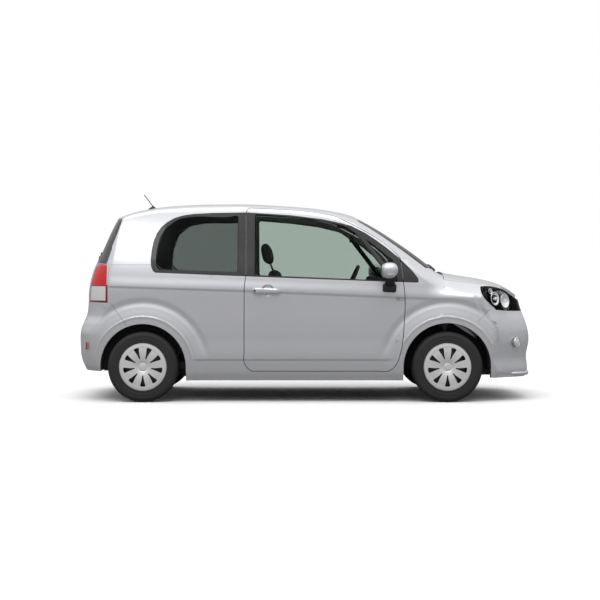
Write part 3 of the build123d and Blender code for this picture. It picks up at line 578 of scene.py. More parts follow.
def crosswise(*rows):
    """Rings of a tube that lies across, from rows of x, y, z, half depth and half height."""
    return [((x, y, z), (a, 0, 0), (0, 0, b)) for x, y, z, a, b in rows]


def join_into(bm, made, matrix=None):
    """Adds a part to the piece that it belongs to."""
    if matrix is not None:
        bmesh.ops.transform(made, matrix=matrix, verts=made.verts)
    keep = bpy.data.meshes.new("part")
    made.to_mesh(keep)
    made.free()
    bm.from_mesh(keep)
    bpy.data.meshes.remove(keep)


def leaning(place, degrees):
    return Matrix.Translation(place) @ Matrix.Rotation(radians(degrees), 4, "Y")


def cut(bm, place, square, clear=False):
    """Cuts a mesh along a plane, and may take away what lies beyond it."""
    bmesh.ops.bisect_plane(bm, geom=bm.verts[:] + bm.edges[:] + bm.faces[:], plane_co=place,
                           plane_no=square, clear_outer=clear)


def fill_holes(bm):
    bmesh.ops.holes_fill(bm, edges=[e for e in bm.edges if e.is_boundary], sides=0)


def slab(bm, size, place, round_by, lean=0, segments=3, index=0):
    """A moulded block with rounded edges, that may lean back by some degrees."""
    made = bmesh.new()
    bmesh.ops.create_cube(made, size=1)
    bmesh.ops.scale(made, vec=size, verts=made.verts)
    bmesh.ops.bevel(made, geom=made.edges[:], offset=min(round_by, min(size) * 0.45),
                    offset_type="OFFSET", affect="EDGES", segments=segments, profile=0.5,
                    material=-1)
    for f in made.faces:
        f.smooth = True
        f.material_index = index
    join_into(bm, made, leaning(place, lean))


def lining_side(face):
    """Whether a face looks into the cabin."""
    centre = face.calc_center_median()
    inward = face.normal.y * (1 if centre.y < 0 else -1)
    ahead = face.normal.x if centre.x < -1500 else 0
    inside = centre.z > 275 and -1930 < centre.x < 925
    return inside and (inward > 0.5 or face.normal.z < -0.7 or ahead > 0.6)


SLOPE_SPOT, SLOPE = Vector((352, 0, 1505)), Vector((0.562, 0, 0.827))
SILL_LEVEL = 1046            # where a door's panes begin
TAIL_PANE_FOOT, TAIL_PANE_TOP = 1187, 1578


def drop_old_bar(bm):
    """Takes out the upright bar between the two panes of a door, for the raked one."""
    cut(bm, (0, 0, SILL_LEVEL), (0, 0, 1))
    cut(bm, SLOPE_SPOT, SLOPE)
    bar = []
    for f in bm.faces:
        c = f.calc_center_median()
        rear = 442 - 0.171 * (c.z - 1043) if c.z < 1300 else 398 - 0.224 * (c.z - 1300)
        front = 492 - 0.15 * (c.z - 1040)
        below = (c - SLOPE_SPOT).dot(SLOPE) < 0
        if c.z > SILL_LEVEL and below and rear - 5 < c.x < front + 5:
            bar.append(f)
    bmesh.ops.delete(bm, geom=bar, context="FACES")
    fill_holes(bm)


HINGES = ((788, 520), (788, 880))


def clear_hinge_pins(bm):
    """Keeps the door hinge pins of a side panel under the skin of the door."""
    for v in bm.verts:
        for x, z in HINGES:
            if abs(v.co.x - x) < 20 and abs(v.co.z - z) < 34 and abs(v.co.y) > 700:
                most = half_width(v.co.x, v.co.z) - 3
                if abs(v.co.y) > most:
                    v.co.y = most * side_of(v.co.y)


def film_share(node, p):
    """How far a point lies inside the black film, negative outside it."""
    if node == "tailgate":
        return min(p.z - TAIL_PANE_FOOT, TAIL_PANE_TOP - p.z)
    return inside_by(FILM_OUTLINE, p.x, p.z) if abs(p.y) > 500 and p.z > 950 else -50.0


def in_reveal(face):
    """Whether a face is the edge of a window opening."""
    c = face.calc_center_median()
    deep = half_width(c.x, c.z) - abs(c.y) > 9
    return c.z > 1020 and deep and inside_by(FILM_OUTLINE, c.x, c.z) > 12


def lay_skin(bm, node, lined):
    """Refines a panel, lays its side skin on the pressing and returns its corner normals."""
    sheet = bm.faces.layers.int.new("sheet")
    for f in bm.faces:
        f[sheet] = outer_sheet(f)
        inner = lining_side(f) or (node[:4] in ("door", "side") and in_reveal(f))
        f.material_index = 1 if lined and f[sheet] < 0 and inner else 0
        f.smooth = True
    refine(bm, sheet, skin_step)
    film = bm.verts.layers.float.new("film")
    for v in bm.verts:
        v[film] = film_share(node, v.co)
    for v in {v for f in bm.faces if f[sheet] == 0 for v in f.verts}:
        v.co.y = pressed_width(v.co.x, v.co.z) * side_of(v.co.y)
    bm.normal_update()
    known = {}
    corners = []
    for f in bm.faces:
        for corner in f.loops:
            v = corner.vert
            if f[sheet] == -1:
                corners.append(f.normal.copy())
                continue
            if v.index not in known:
                total = corner_facing(v.co)
                known[v.index] = total.normalized() if total.length > 0.1 else None
            corners.append(known[v.index] or f.normal.copy())
    return corners


def panel(node, body, lined):
    """A body panel laid on the pressed shape, with true normals on its outer skin."""
    bm = merged_copy(node)
    if node.startswith("door"):
        drop_old_bar(bm)
    if node.startswith("side"):
        clear_hinge_pins(bm)
    corners = lay_skin(bm, node, lined)
    piece = add_piece(node + "_skin", bm, body, replaced=(node,))
    piece.data.normals_split_custom_set([tuple(n) for n in corners])
    return piece


# ---- Floor pan, bulkheads and wheelhouses
# One welded steel shell: carpeted inside the cabin, painted in the engine bay and sprayed
# with black underseal beneath and in the wheelhouses.

def make_plain(name, dark, light, roughness, grain, depth, metallic=0.0, coarse=60.0, **more):
    """A moulded, cast or sprayed finish: two close tones and a fine grain."""
    finish = Finish(name)
    cloud = finish.noise(coarse, 3.0)
    height = finish.noise(grain, 3.0)
    return finish.surface(base_color=finish.mix(cloud, dark, light), metallic=metallic,
                          roughness=(roughness - 0.06) + 0.12 * height,
                          normal=finish.bump(height, depth), **more)


def make_carpet():
    carpet = Finish("carpet")
    tuft = carpet.cells(420)
    grey = carpet.mix(tuft, (0.022, 0.022, 0.024), (0.055, 0.055, 0.058))
    return carpet.surface(base_color=grey, roughness=0.95, normal=carpet.bump(tuft, 0.002),
                          sheen_weight=0.25)


carpet = make_carpet()
underseal = make_plain("underseal", (0.012, 0.012, 0.012), (0.03, 0.03, 0.03), 0.75, 160, 0.001)


CABIN_REAR, BULKHEAD_X = -1862, 915


def make_floor():
    bm = merged_copy("underbody")
    for f in bm.faces:
        c = f.calc_center_median()
        in_cabin = CABIN_REAR < c.x < BULKHEAD_X and c.z > 279
        facing_in = f.normal.z > 0.5 or f.normal.x < -0.5 or f.normal.y * c.y < -0.3 * abs(c.y)
        if in_cabin and facing_in and c.z < 1041:
            f.material_index = 0
        elif c.x > BULKHEAD_X and (c.z > 560 or (abs(c.y) < 432 and c.z > 402)):
            f.material_index = 2
        else:
            f.material_index = 1
    return add_piece("floor_pan", bm, "body", replaced=("underbody",))


dress([make_floor()], carpet, underseal, silver_paint)

# ---- Axles, struts, engine, tank and exhaust
# Black painted pressings, a bare cast engine, a moulded tank and a steel exhaust, bolted under
# the floor. They keep their CAD solids.

chassis_black = make_plain("chassis_black", (0.014, 0.014, 0.015), (0.03, 0.03, 0.031), 0.42,
                           220, 0.0004)
cast_metal = make_plain("cast_metal", (0.17, 0.17, 0.175), (0.32, 0.32, 0.325), 0.5, 300, 0.0006,
                        0.8)
tank_plastic = make_plain("tank_plastic", (0.015, 0.015, 0.015), (0.025, 0.025, 0.025), 0.5, 350,
                          0.0003)
exhaust_steel = make_plain("exhaust_steel", (0.2, 0.17, 0.14), (0.46, 0.45, 0.43), 0.38, 500,
                           0.0002, 0.9, 6.0)
dress(["front_subframe", "rear_axle_beam", "knuckle_right", "knuckle_left"], chassis_black)
dress(["engine"], cast_metal)
dress(["fuel_tank"], tank_plastic)
dress(["exhaust"], exhaust_steel)

# ---- Wheels
# Black steel wheels with radial tyres, and a silver moulded cover with nine slots clipped
# over each. Tyre and cover are turned from a section round the axle.

RIM_EDGE = 203.0
TYRE_OUT, TYRE_HALF = 302.0, 92.5


def turned(bm, section, steps):
    """Spins an open section of (radius, along) points round the Y axis."""
    points = [bm.verts.new((0, y, r)) for r, y in section]
    edges = [bm.edges.new(pair) for pair in zip(points, points[1:])]
    bmesh.ops.spin(bm, geom=points + edges, axis=(0, 1, 0), cent=(0, 0, 0), angle=2 * pi,
                   steps=steps, use_merge=True)
    bmesh.ops.remove_doubles(bm, verts=bm.verts, dist=0.01)


def put_on_hub(bm, corner):
    """Moves a wheel piece, made with its outside towards -Y, to its axle."""
    lowest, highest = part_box("tyre_" + corner)
    centre = (lowest + highest) * 500
    if centre.y > 0:
        bmesh.ops.scale(bm, vec=(1, -1, 1), verts=bm.verts)
    bmesh.ops.translate(bm, vec=centre, verts=bm.verts)
    face_out(bm)
    round_all(bm)


TREAD_FLOOR = 294


def make_tyre(corner):
    bm = bmesh.new()
    ribs = []
    for start, end in ((-74, -40), (-34, -4), (4, 34), (40, 74)):
        ribs += [(TREAD_FLOOR, start - 2), (TYRE_OUT - abs(start) * 0.03, start),
                 (TYRE_OUT - abs(end) * 0.03, end), (TREAD_FLOOR, end + 2)]
    side = [(190, -72), (200, -86), (207, -87), (211, -89.5), (214, -87.5), (232, -91.5),
            (236, -92.3), (239, -91.4), (262, -TYRE_HALF), (266, -TYRE_HALF - 0.3),
            (270, -TYRE_HALF + 0.6), (283, -88), (292, -82), (297, -77)]
    turned(bm, side + ribs + [(r, -y) for r, y in reversed(side)] + [(190, -72)], 90)
    blocks = []
    for f in bm.faces:
        c = f.calc_center_median()
        if hypot(c.x, c.z) > 299 and abs(c.y) < 75:
            blocks.append(f)
    bmesh.ops.inset_individual(bm, faces=blocks, thickness=1.6, depth=0)
    put_on_hub(bm, corner)
    add_piece("tyre_tread_" + corner, bm, "road_wheel_" + corner, rubber,
              ("tyre_" + corner,))


def make_rubber():
    rubber = Finish("tyre_rubber")
    dust = rubber.noise(9, 4.0)
    fine = rubber.noise(500, 2.0)
    black = rubber.mix(dust, (0.010, 0.010, 0.010), (0.024, 0.023, 0.023))
    return rubber.surface(base_color=black, roughness=0.62 + 0.14 * dust,
                          normal=rubber.bump(fine, 0.0004))


SLOTS = 9
SLOT_INNER, SLOT_OUTER = 0.35, 0.83
SLOT_COLUMNS = 12            # columns of faces to a slot and its spoke
SLOT_DEEP = 11


def slot_half_angle(share):
    """Half of the angle a slot takes, at a share of the cover's radius."""
    grown = smooth((share - SLOT_INNER) / (SLOT_OUTER - SLOT_INNER))
    return radians(3.6 + 4.6 * grown)


def make_wheel_cover(corner):
    bm = bmesh.new()
    rings = [(0, -84), (14, -84.4), (26, -84), (31, -82.6), (33, -79.5), (37, -79.5), (40, -82),
             (50, -84.5), (60, -87)]
    rings += [(RIM_EDGE * s, -88.6 - 5.0 * sin(pi * (s - 0.3) / 0.6)) for s in
              (SLOT_INNER, 0.45, 0.55, 0.65, 0.75, SLOT_OUTER)]
    rings += [(178, -91), (186, -90.6), (190, -89), (196, -89.4), (201, -88.6), (204, -85),
              (204, -80)]
    turned(bm, rings, SLOTS * SLOT_COLUMNS)
    pitch = 2 * pi / SLOTS
    mark = SLOT_COLUMNS // 4 * (pitch / SLOT_COLUMNS)

    def around(spot):
        """Angle round the cover, and from the middle of the nearest slot."""
        angle = atan2(spot.x, -spot.z)
        return angle, (angle + pitch / 2) % pitch - pitch / 2

    gone = []
    for f in bm.faces:
        c = f.calc_center_median()
        if SLOT_INNER < hypot(c.x, c.z) / RIM_EDGE < SLOT_OUTER and abs(around(c)[1]) < mark:
            gone.append(f)
    for v in bm.verts:
        r = hypot(v.co.x, v.co.z)
        if r < 34 or r > 177:
            continue
        angle, turn = around(v.co)
        wide = slot_half_angle(r / RIM_EDGE)
        if abs(turn) <= mark:
            new = turn * wide / mark
        else:
            new = (wide + (abs(turn) - mark) * (pitch / 2 - wide) / (pitch / 2 - mark))
            new *= 1 if turn > 0 else -1
        pull = min(1.0, abs(turn) / mark) ** 4 if abs(turn) <= mark * 1.01 else 0
        if abs(r / RIM_EDGE - SLOT_OUTER) < 0.02:
            r -= 5.0 * pull      # rounds the corners of a slot
        if abs(r / RIM_EDGE - SLOT_INNER) < 0.02:
            r += 3.0 * pull
        angle += new - turn
        v.co.x, v.co.z = r * sin(angle), -r * cos(angle)
    bmesh.ops.delete(bm, geom=gone, context="FACES")
    rims = [e for e in bm.edges if len(e.link_faces) == 1
            and hypot(e.verts[0].co.x, e.verts[0].co.z) < 190]
    wall = points_of(bmesh.ops.extrude_edge_only(bm, edges=rims))
    bmesh.ops.translate(bm, vec=(0, SLOT_DEEP, 0), verts=wall)
    face_out(bm)
    bmesh.ops.solidify(bm, geom=bm.faces, thickness=1.6)
    put_on_hub(bm, corner)
    piece = add_piece("wheel_cover_" + corner, bm, "road_wheel_" + corner,
                      cover_silver, ("cover_" + corner,))
    piece.data.set_sharp_from_angle(angle=radians(38))


rubber = make_rubber()
cover_silver = make_plain("cover_silver", (0.70, 0.70, 0.71), (0.78, 0.78, 0.79), 0.36, 700,
                          0.00004, 0.35, 3.0, coat_weight=0.5, coat_roughness=0.12)
for corner in ("front_right", "front_left", "rear_right", "rear_left"):
    make_tyre(corner)
    make_wheel_cover(corner)
    dress(["wheel_" + corner], chassis_black)

# ---- Side and end panels
# Panels keep their CAD outline. Doors, tailgate and pillars are lined with pale plastic, whose
# tone is raised as painted light for the cabin, and the bars in the front bumper's grille and air
# intake are black plastic.

# Painted light: the lining is paler than the plastic to stand in for the light that reaches the
# cabin.
lining_with_painted_light = make_plain("lining_plastic_painted_light", (0.80, 0.80, 0.785), (0.88, 0.88, 0.865), 0.62, 900,
                    0.0003)
black_plastic = make_plain("black_plastic", (0.012, 0.012, 0.0125), (0.022, 0.022, 0.023), 0.48,
                           800, 0.0003)


GRILLE_Y, INTAKE_Y = 396, 476
BAR_LEVELS = (345, 395, 440)
POST_PITCH = 160
BAR_HALF = 6


def blacken_bars(piece):
    """The bars of the grille and of the air intake are black plastic."""
    for face in piece.data.polygons:
        c = face.center * 1000
        grille = 790 < c.z < 873 and abs(c.y) < GRILLE_Y
        intake = 296 < c.z < 474 and abs(c.y) < INTAKE_Y
        sideways = abs(face.normal.y) > 0.9 or abs(face.normal.z) > 0.9
        if (grille or intake) and c.x > 1800 and (sideways or bar_front(c)):
            face.material_index = 1


def bar_front(c):
    """Whether a point on the bumper's front lies on a bar."""
    if c.z > 700:
        return 824 < c.z < 840
    on_level = any(abs(c.z - level) < BAR_HALF for level in BAR_LEVELS)
    on_post = any(abs(c.y - POST_PITCH * n) < BAR_HALF for n in range(-2, 3))
    return (on_level or on_post) and 300 < c.z < 470 and abs(c.y) < INTAKE_Y - 6


for node, body in (("side_panel_right", "body"), ("side_panel_left", "body"),
                   ("roof_panel", "body"), ("front_fenders", "body"), ("hood", "hood"),
                   ("front_bumper", "body"), ("rear_bumper", "body"), ("tailgate", "tailgate"),
                   ("door_right", "door_right"), ("door_left", "door_left")):
    piece = panel(node, body, node.startswith(("side", "roof", "door", "tail")))
    if node == "front_bumper":
        blacken_bars(piece)
    dress([piece], silver_paint, black_plastic if "bumper" in node else lining_with_painted_light)

# ---- Windows
# Curved safety glass: green tinted in front, dark privacy glass behind the doors. A black
# rubber strip runs round each side pane, and a raked bar parts the two panes of a door.

def make_glass(name, tint, mirror):
    pane = Finish(name)
    through = pane.node("ShaderNodeBsdfTransparent", {}, {"Color": tint})
    haze = pane.noise(3.0)
    pane.surface(base_color=(0.015, 0.017, 0.016), roughness=0.01 + 0.03 * haze,
                 specular_ior_level=0.8)
    edge = pane.node("ShaderNodeFresnel", {}, {"IOR": 1.5})
    both = pane.node("ShaderNodeMixShader", {},
                     {0: edge * mirror, 1: through, 2: Value(pane, pane.shader.outputs[0])})
    pane.tree.links.new(both.socket, pane.output.inputs["Surface"])
    return pane


green_glass = make_glass("green_glass", (0.778, 0.821, 0.796), 0.9)
privacy_glass = make_glass("privacy_glass", (0.585, 0.612, 0.60), 0.9)
clear_lens = make_glass("clear_lens", (0.93, 0.945, 0.95), 1.2)
dress(["windshield"], green_glass)
dress(["quarter_glass", "tailgate_glass"], privacy_glass)
seal_rubber = make_plain("seal_rubber", (0.008, 0.008, 0.008), (0.016, 0.016, 0.016), 0.55, 600,
                         0.0002)


PANE_SUNK = 14               # the side panes lie this far inside the body's side
SIDES = (("right", -1), ("left", 1))


def rounded(outline, radius, count=5):
    """An outline with its corners rounded."""
    result = []
    for a, b, c in zip(outline[-1:] + outline[:-1], outline, outline[1:] + outline[:1]):
        a, b, c = Vector(a), Vector(b), Vector(c)
        cut = min(radius, (a - b).length / 2, (c - b).length / 2)
        start, end = b + (a - b).normalized() * cut, b + (c - b).normalized() * cut
        for i in range(count):
            t = i / (count - 1)
            result.append((1 - t) ** 2 * start + 2 * t * (1 - t) * b + t * t * end)
    return result


def strip(bm, path, wide, thick, facing):
    """A closed flat strip along a path: wide in the surface, thick along its facing."""
    n = len(path)
    rings = []
    for i, p in enumerate(path):
        along = (path[(i + 1) % n] - path[i - 1]).normalized()
        out = facing(p)
        across = along.cross(out).normalized()
        rings.append([bm.verts.new(p + across * wide * a + out * thick * b)
                      for a, b in ((-0.5, 0), (-0.3, 1), (0.3, 1), (0.5, 0))])
    for ring, after in zip(rings, rings[1:] + rings[:1]):
        for k in range(4):
            bm.faces.new((ring[k], ring[(k + 1) % 4], after[(k + 1) % 4], after[k]))
    face_out(bm)
    round_all(bm)


def side_seal(name, outline, sign, body):
    """Rubber strip round a side pane, just over the glass."""
    bm = bmesh.new()
    path = [Vector((p.x, sign * (half_width(p.x, p.y) - PANE_SUNK), p.y))
            for p in rounded(outline, 28)]
    strip(bm, path, 13, 5, side_facing)
    add_piece(name, bm, body, seal_rubber)


DOOR_PANE = [(-437, 1081), (790, 1030), (752, 1215), (560, 1370), (430, 1452), (352, 1505),
             (142, 1556), (-123, 1590), (-420, 1614), (-437, 1600)]
QUARTER_PANE = [(-1220, 1128), (-600, 1106), (-575, 1120), (-575, 1590), (-600, 1600),
                (-960, 1592), (-1100, 1565), (-1210, 1480), (-1270, 1330), (-1285, 1180)]


def make_door_glass(side, sign):
    """One curved pane that fills the door's opening and stands 8 mm into its frame."""
    bm = bmesh.new()
    bmesh.ops.create_grid(bm, x_segments=44, y_segments=24, size=1)
    for v in bm.verts:
        v.co = (170 + 640 * v.co.x, sign * 700, 1322 + 310 * v.co.y)
    edge = [(-445, 1066), (442, 1034), (798, 1022), (760, 1218), (565, 1379), (356, 1514),
            (144, 1565), (-122, 1599), (-445, 1623)]
    for (x0, z0), (x1, z1) in zip(edge, edge[1:] + edge[:1]):
        cut(bm, (x0, 0, z0), (z1 - z0, 0, x0 - x1), True)
    for v in bm.verts:
        v.co.y = sign * (half_width(v.co.x, v.co.z) - PANE_SUNK)
    bmesh.ops.solidify(bm, geom=bm.faces, thickness=4)
    face_out(bm)
    round_all(bm)
    add_piece("door_pane_" + side, bm, "door_" + side, green_glass,
              ("door_glass_" + side,))


gloss_black = make_plain("gloss_black", (0.010, 0.010, 0.011), (0.014, 0.014, 0.015), 0.32, 300,
                         0.0001, coat_weight=0.5)


BAR_TOP, BAR_FOOT = (418, 1494), (768, 1040)


def make_bar(side, sign):
    """Raked bar between a door's main pane and its corner pane."""
    bm = bmesh.new()
    rings = []
    for i in range(13):
        t = i / 12
        x = BAR_TOP[0] + (BAR_FOOT[0] - BAR_TOP[0]) * t
        z = BAR_TOP[1] + (BAR_FOOT[1] - BAR_TOP[1]) * t
        depth = half_width(x, z) - 16
        rings.append(((x, sign * depth, z), (27, 0, 0), (0, 14, 0)))
    tube(bm, rings, 20, 5.0)
    add_piece("pane_bar_" + side, bm, "door_" + side, gloss_black)


for side, sign in SIDES:
    make_door_glass(side, sign)
    make_bar(side, sign)
    side_seal("door_pane_seal_" + side, DOOR_PANE, sign, "door_" + side)
    side_seal("quarter_pane_seal_" + side, QUARTER_PANE, sign, "body")

# ---- Lamps
# Each headlamp is a clear moulded lens over a fluted housing with three bright bowls; each
# tail lamp has a red upper part and a clear lower part over a dark housing.

chrome = make_plain("lamp_chrome", (0.88, 0.88, 0.89), (0.95, 0.95, 0.96), 0.2, 60, 0.0005, 0.6)


def make_lamp_housing():
    """Bright fluted reflector at the front of a headlamp; the rest of each housing is dark."""
    finish = Finish("lamp_housing")
    slant = finish.along(0) + finish.along(2) * 0.35
    bright = slant.step(1.915, 1.925) * (1 - finish.along(0).step(1.875, 1.885))
    flute = (finish.along(0) * 160.0).wave()
    silver = finish.mix(flute, (0.74, 0.74, 0.75), (0.94, 0.94, 0.95))
    return finish.surface(base_color=finish.mix(bright, (0.018, 0.018, 0.02), silver),
                          roughness=0.3, metallic=0.1 * bright,
                          normal=finish.bump(flute, 0.0015))


lamp_housing = make_lamp_housing()


def doubled(bm):
    """Closes a sheet with a second one in the same place, and returns its points."""
    return points_of(bmesh.ops.extrude_face_region(bm, geom=bm.faces[:], use_keep_orig=True))


LENS_THICK, HOUSING_THICK = 3.0, 2.0


def lamp_shells(node, lens_name, housing_name, lens_slot):
    """Splits a lamp's CAD solid into its lens, on the body skin, and its housing behind it."""
    pieces = []
    for name, wants_lens, slot in ((lens_name, True, lens_slot),
                                   (housing_name, False, "black_plastic")):
        bm = merged_copy(node)
        sheet = bm.faces.layers.int.new("sheet")
        for f in bm.faces:
            f[sheet] = outer_sheet(f)
            if f[sheet] < -1:
                f[sheet] = -2 - f[sheet]
        if wants_lens:
            refine(bm, sheet, lambda p: 24.0, 4)
        bmesh.ops.delete(bm, geom=[f for f in bm.faces if (f[sheet] >= 0) != wants_lens],
                         context="FACES")
        for f in bm.faces:
            f.smooth = wants_lens
        bm.normal_update()
        facing = {tuple(v.co): v.normal.copy() for v in bm.verts}
        for v in doubled(bm):
            v.co -= facing[tuple(v.co)] * (LENS_THICK if wants_lens else HOUSING_THICK)
        face_out(bm)
        pieces.append(add_piece(name, bm, "body", replaced=(node,)))
    return pieces


head_lens, head_housing = lamp_shells("headlamps", "headlamp_lenses", "headlamp_housings",
                                      "lamp_lens")
dress([head_lens], clear_lens)
dress([head_housing], lamp_housing)


def set_turned(bm, section, steps, place, facing):
    """Adds a turned part whose outer end, towards -Y in its section, looks along facing."""
    made = bmesh.new()
    turned(made, section, steps)
    face_out(made)
    turn = Vector((0, -1, 0)).rotation_difference(facing).to_matrix().to_4x4()
    join_into(bm, made, Matrix.Translation(place) @ turn)


def bowl(bm, place, facing, radius, depth):
    """A bright reflector: a deep turned dish."""
    section = [(0.0, depth)] + [(radius * s, depth * (1 - s * s)) for s in
                                (0.16, 0.35, 0.55, 0.75, 0.9, 1.0)]
    section += [(radius * 1.06, 0), (radius * 1.06, 4), (radius, 3)]
    set_turned(bm, section, 32, place, facing)


def bulb(bm, place, facing, radius):
    set_turned(bm, [(0, -radius * 2.2), (radius * 0.6, -radius * 2), (radius, -radius * 1.2),
                    (radius, 0), (radius * 0.7, radius), (0, radius)], 16, place, facing)


for side, sign in SIDES:
    bm = bmesh.new()
    facing = Vector((0.72, 0.68 * sign, 0.12)).normalized()
    for x, z, size in ((1632, 884, 56), (1722, 866, 58), (1592, 948, 24)):
        place = Vector((x, sign * (half_width(x, z) - 24 - size * 0.35), z))
        bowl(bm, place, facing, size, size * 0.55)
        bulb(bm, place - facing * size * 0.2, facing, size * 0.2)
    round_all(bm)
    add_piece("headlamp_bowls_" + side, bm, "body", chrome)


def make_tail_lens():
    """Red above, clear below in a dark red frame, with a clear strip up the front edge."""
    lens = Finish("tail_lens")
    ahead = lens.along(0)
    level = lens.along(2)
    ribs = (level * 1400.0).wave() * 0.5 + (ahead * 1100.0).wave() * 0.5
    upper = level.step(1.002, 1.006)
    strip = ahead.step(-1.7035, -1.7005)
    frame = (1 - level.step(0.866, 0.870)).larger(ahead.step(-1.712, -1.709)).larger(
        level.step(0.990, 0.993) * (1 - upper))
    red = lens.mix(ribs, (0.56, 0.003, 0.007), (0.80, 0.006, 0.012))
    clear = lens.mix(ribs, (0.55, 0.53, 0.53), (0.86, 0.85, 0.85))
    above = lens.mix(strip, red, (0.78, 0.62, 0.62))
    below = lens.mix(frame, clear, (0.24, 0.006, 0.010))
    return lens.surface(base_color=lens.mix(upper, below, above), roughness=0.08 + 0.06 * ribs,
                        coat_weight=0.4, coat_roughness=0.03, specular_ior_level=0.3,
                        normal=lens.bump(ribs, 0.0004))


tail_lens, tail_housing = lamp_shells("tail_lamps", "tail_lamp_lenses", "tail_lamp_housings",
                                      "tail_lens")
dress([tail_lens], make_tail_lens())
dress([tail_housing], lamp_housing)

# ---- Seats
# Foam pads under woven cloth, swelled by simulated pressure inside their covers, then sewn:
# channels are pressed in afterwards. Two separate front seats and one rear bench.

SWELL_FRAMES = 20


def foam(size, crown_by, voxel, swell):
    """A pad's mesh, in millimetres round its own centre, after its cover has swelled."""
    bm = bmesh.new()
    bmesh.ops.create_cube(bm, size=1)
    inset = 2 * swell
    bmesh.ops.scale(bm, vec=[s - inset for s in size], verts=bm.verts)
    bmesh.ops.bevel(bm, geom=bm.edges[:], offset=min(size) * 0.3, offset_type="OFFSET",
                    affect="EDGES", segments=4, profile=0.5, material=-1)
    bmesh.ops.triangulate(bm, faces=bm.faces[:])
    bmesh.ops.subdivide_edges(bm, edges=bm.edges[:], cuts=3, use_grid_fill=True)
    half = [s / 2 for s in size]
    for v in bm.verts:
        u, w = v.co.x / half[0], v.co.y / half[1]
        v.co.z *= 1 - crown_by * (u * u + w * w) / 2
    bmesh.ops.scale(bm, vec=(MM, MM, MM), verts=bm.verts)
    mesh = bpy.data.meshes.new("foam")
    bm.to_mesh(mesh)
    bm.free()
    pad = bpy.data.objects.new("foam", mesh)
    bpy.context.scene.collection.objects.link(pad)
    fine = pad.modifiers.new("remesh", "REMESH")
    fine.mode = "VOXEL"
    fine.voxel_size = voxel * MM
    settled = settle_modifiers(pad)
    start = [v.co.copy() for v in settled.vertices]
    pad.modifiers.clear()
    pad.data = settled
    cover = pad.modifiers.new("cover", "CLOTH")
    cover.settings.use_pressure = True
    cover.settings.uniform_pressure_force = 4
    cover.settings.effector_weights.gravity = 0
    cover.settings.quality = 4
    cover.point_cache.frame_start = 1
    cover.point_cache.frame_end = SWELL_FRAMES
    for number in range(1, SWELL_FRAMES + 1):
        bpy.context.scene.frame_set(number)
    settled = settle_modifiers(pad)
    pad.modifiers.clear()
    pad.data = settled
    bpy.context.scene.frame_set(1)
    for v, was in zip(pad.data.vertices, start):
        move = v.co - was
        if move.length > swell * MM:
            v.co = was + move.normalized() * swell * MM
    bm = bmesh.new()
    bm.from_mesh(pad.data)
    bpy.data.objects.remove(pad)
    bmesh.ops.scale(bm, vec=(1000, 1000, 1000), verts=bm.verts)
    bmesh.ops.smooth_vert(bm, verts=bm.verts, factor=0.4, use_axis_x=True, use_axis_y=True,
                          use_axis_z=True)
    return bm


def settle_modifiers(item):
    """The mesh that an object's modifiers give now."""
    graph = bpy.context.evaluated_depsgraph_get()
    return bpy.data.meshes.new_from_object(item.evaluated_get(graph))


CHANNEL_DEEP, CHANNEL_HALF = 6.0, 9.0


def sew(bm, *lines):
    """Presses sewn channels into a pad: each line is an axis and where it lies on it."""
    for v in bm.verts:
        for axis, where in lines:
            off = abs(v.co[axis] - where)
            if off < CHANNEL_HALF:
                share = (1 - off / CHANNEL_HALF) ** 2
                v.co -= Vector((0, 0, side_of(v.co.z))) * CHANNEL_DEEP * share


def make_cloth(name, dark, light):
    cloth = Finish(name)
    warp = (cloth.along(0) * 2400.0).wave()
    weft = (cloth.along(1) * 2400.0 + cloth.along(2) * 1500.0).wave()
    weave = warp * 0.5 + weft * 0.5
    fleck = cloth.noise(350, 3.0)
    return cloth.surface(base_color=cloth.mix(fleck * 0.6 + weave * 0.4, dark, light),
                         roughness=0.9, sheen_weight=0.3,
                         normal=cloth.bump(weave + fleck * 0.5, 0.0008))


seat_cloth = make_cloth("seat_cloth", (0.045, 0.046, 0.05), (0.10, 0.10, 0.108))
cabin_plastic = make_plain("cabin_plastic", (0.03, 0.03, 0.031), (0.045, 0.045, 0.047), 0.6, 900,
                           0.0004)
bright_metal = make_plain("bright_metal", (0.6, 0.6, 0.6), (0.7, 0.7, 0.7), 0.22, 500, 0.0001,
                          1.0)


def padded_piece(name, made, matrix, replaced, mirrored=False):
    bm = bmesh.new()
    join_into(bm, made.copy(), matrix)
    if mirrored:
        bmesh.ops.scale(bm, vec=(1, -1, 1), verts=bm.verts)
        bmesh.ops.reverse_faces(bm, faces=bm.faces)
    round_all(bm)
    piece = add_piece(name, bm, "body", seat_cloth, (replaced,))


def stood_up(place, degrees):
    """Turns a lying pad upright and leans it back."""
    return leaning(place, degrees) @ Matrix.Rotation(-pi / 2, 4, "Y")


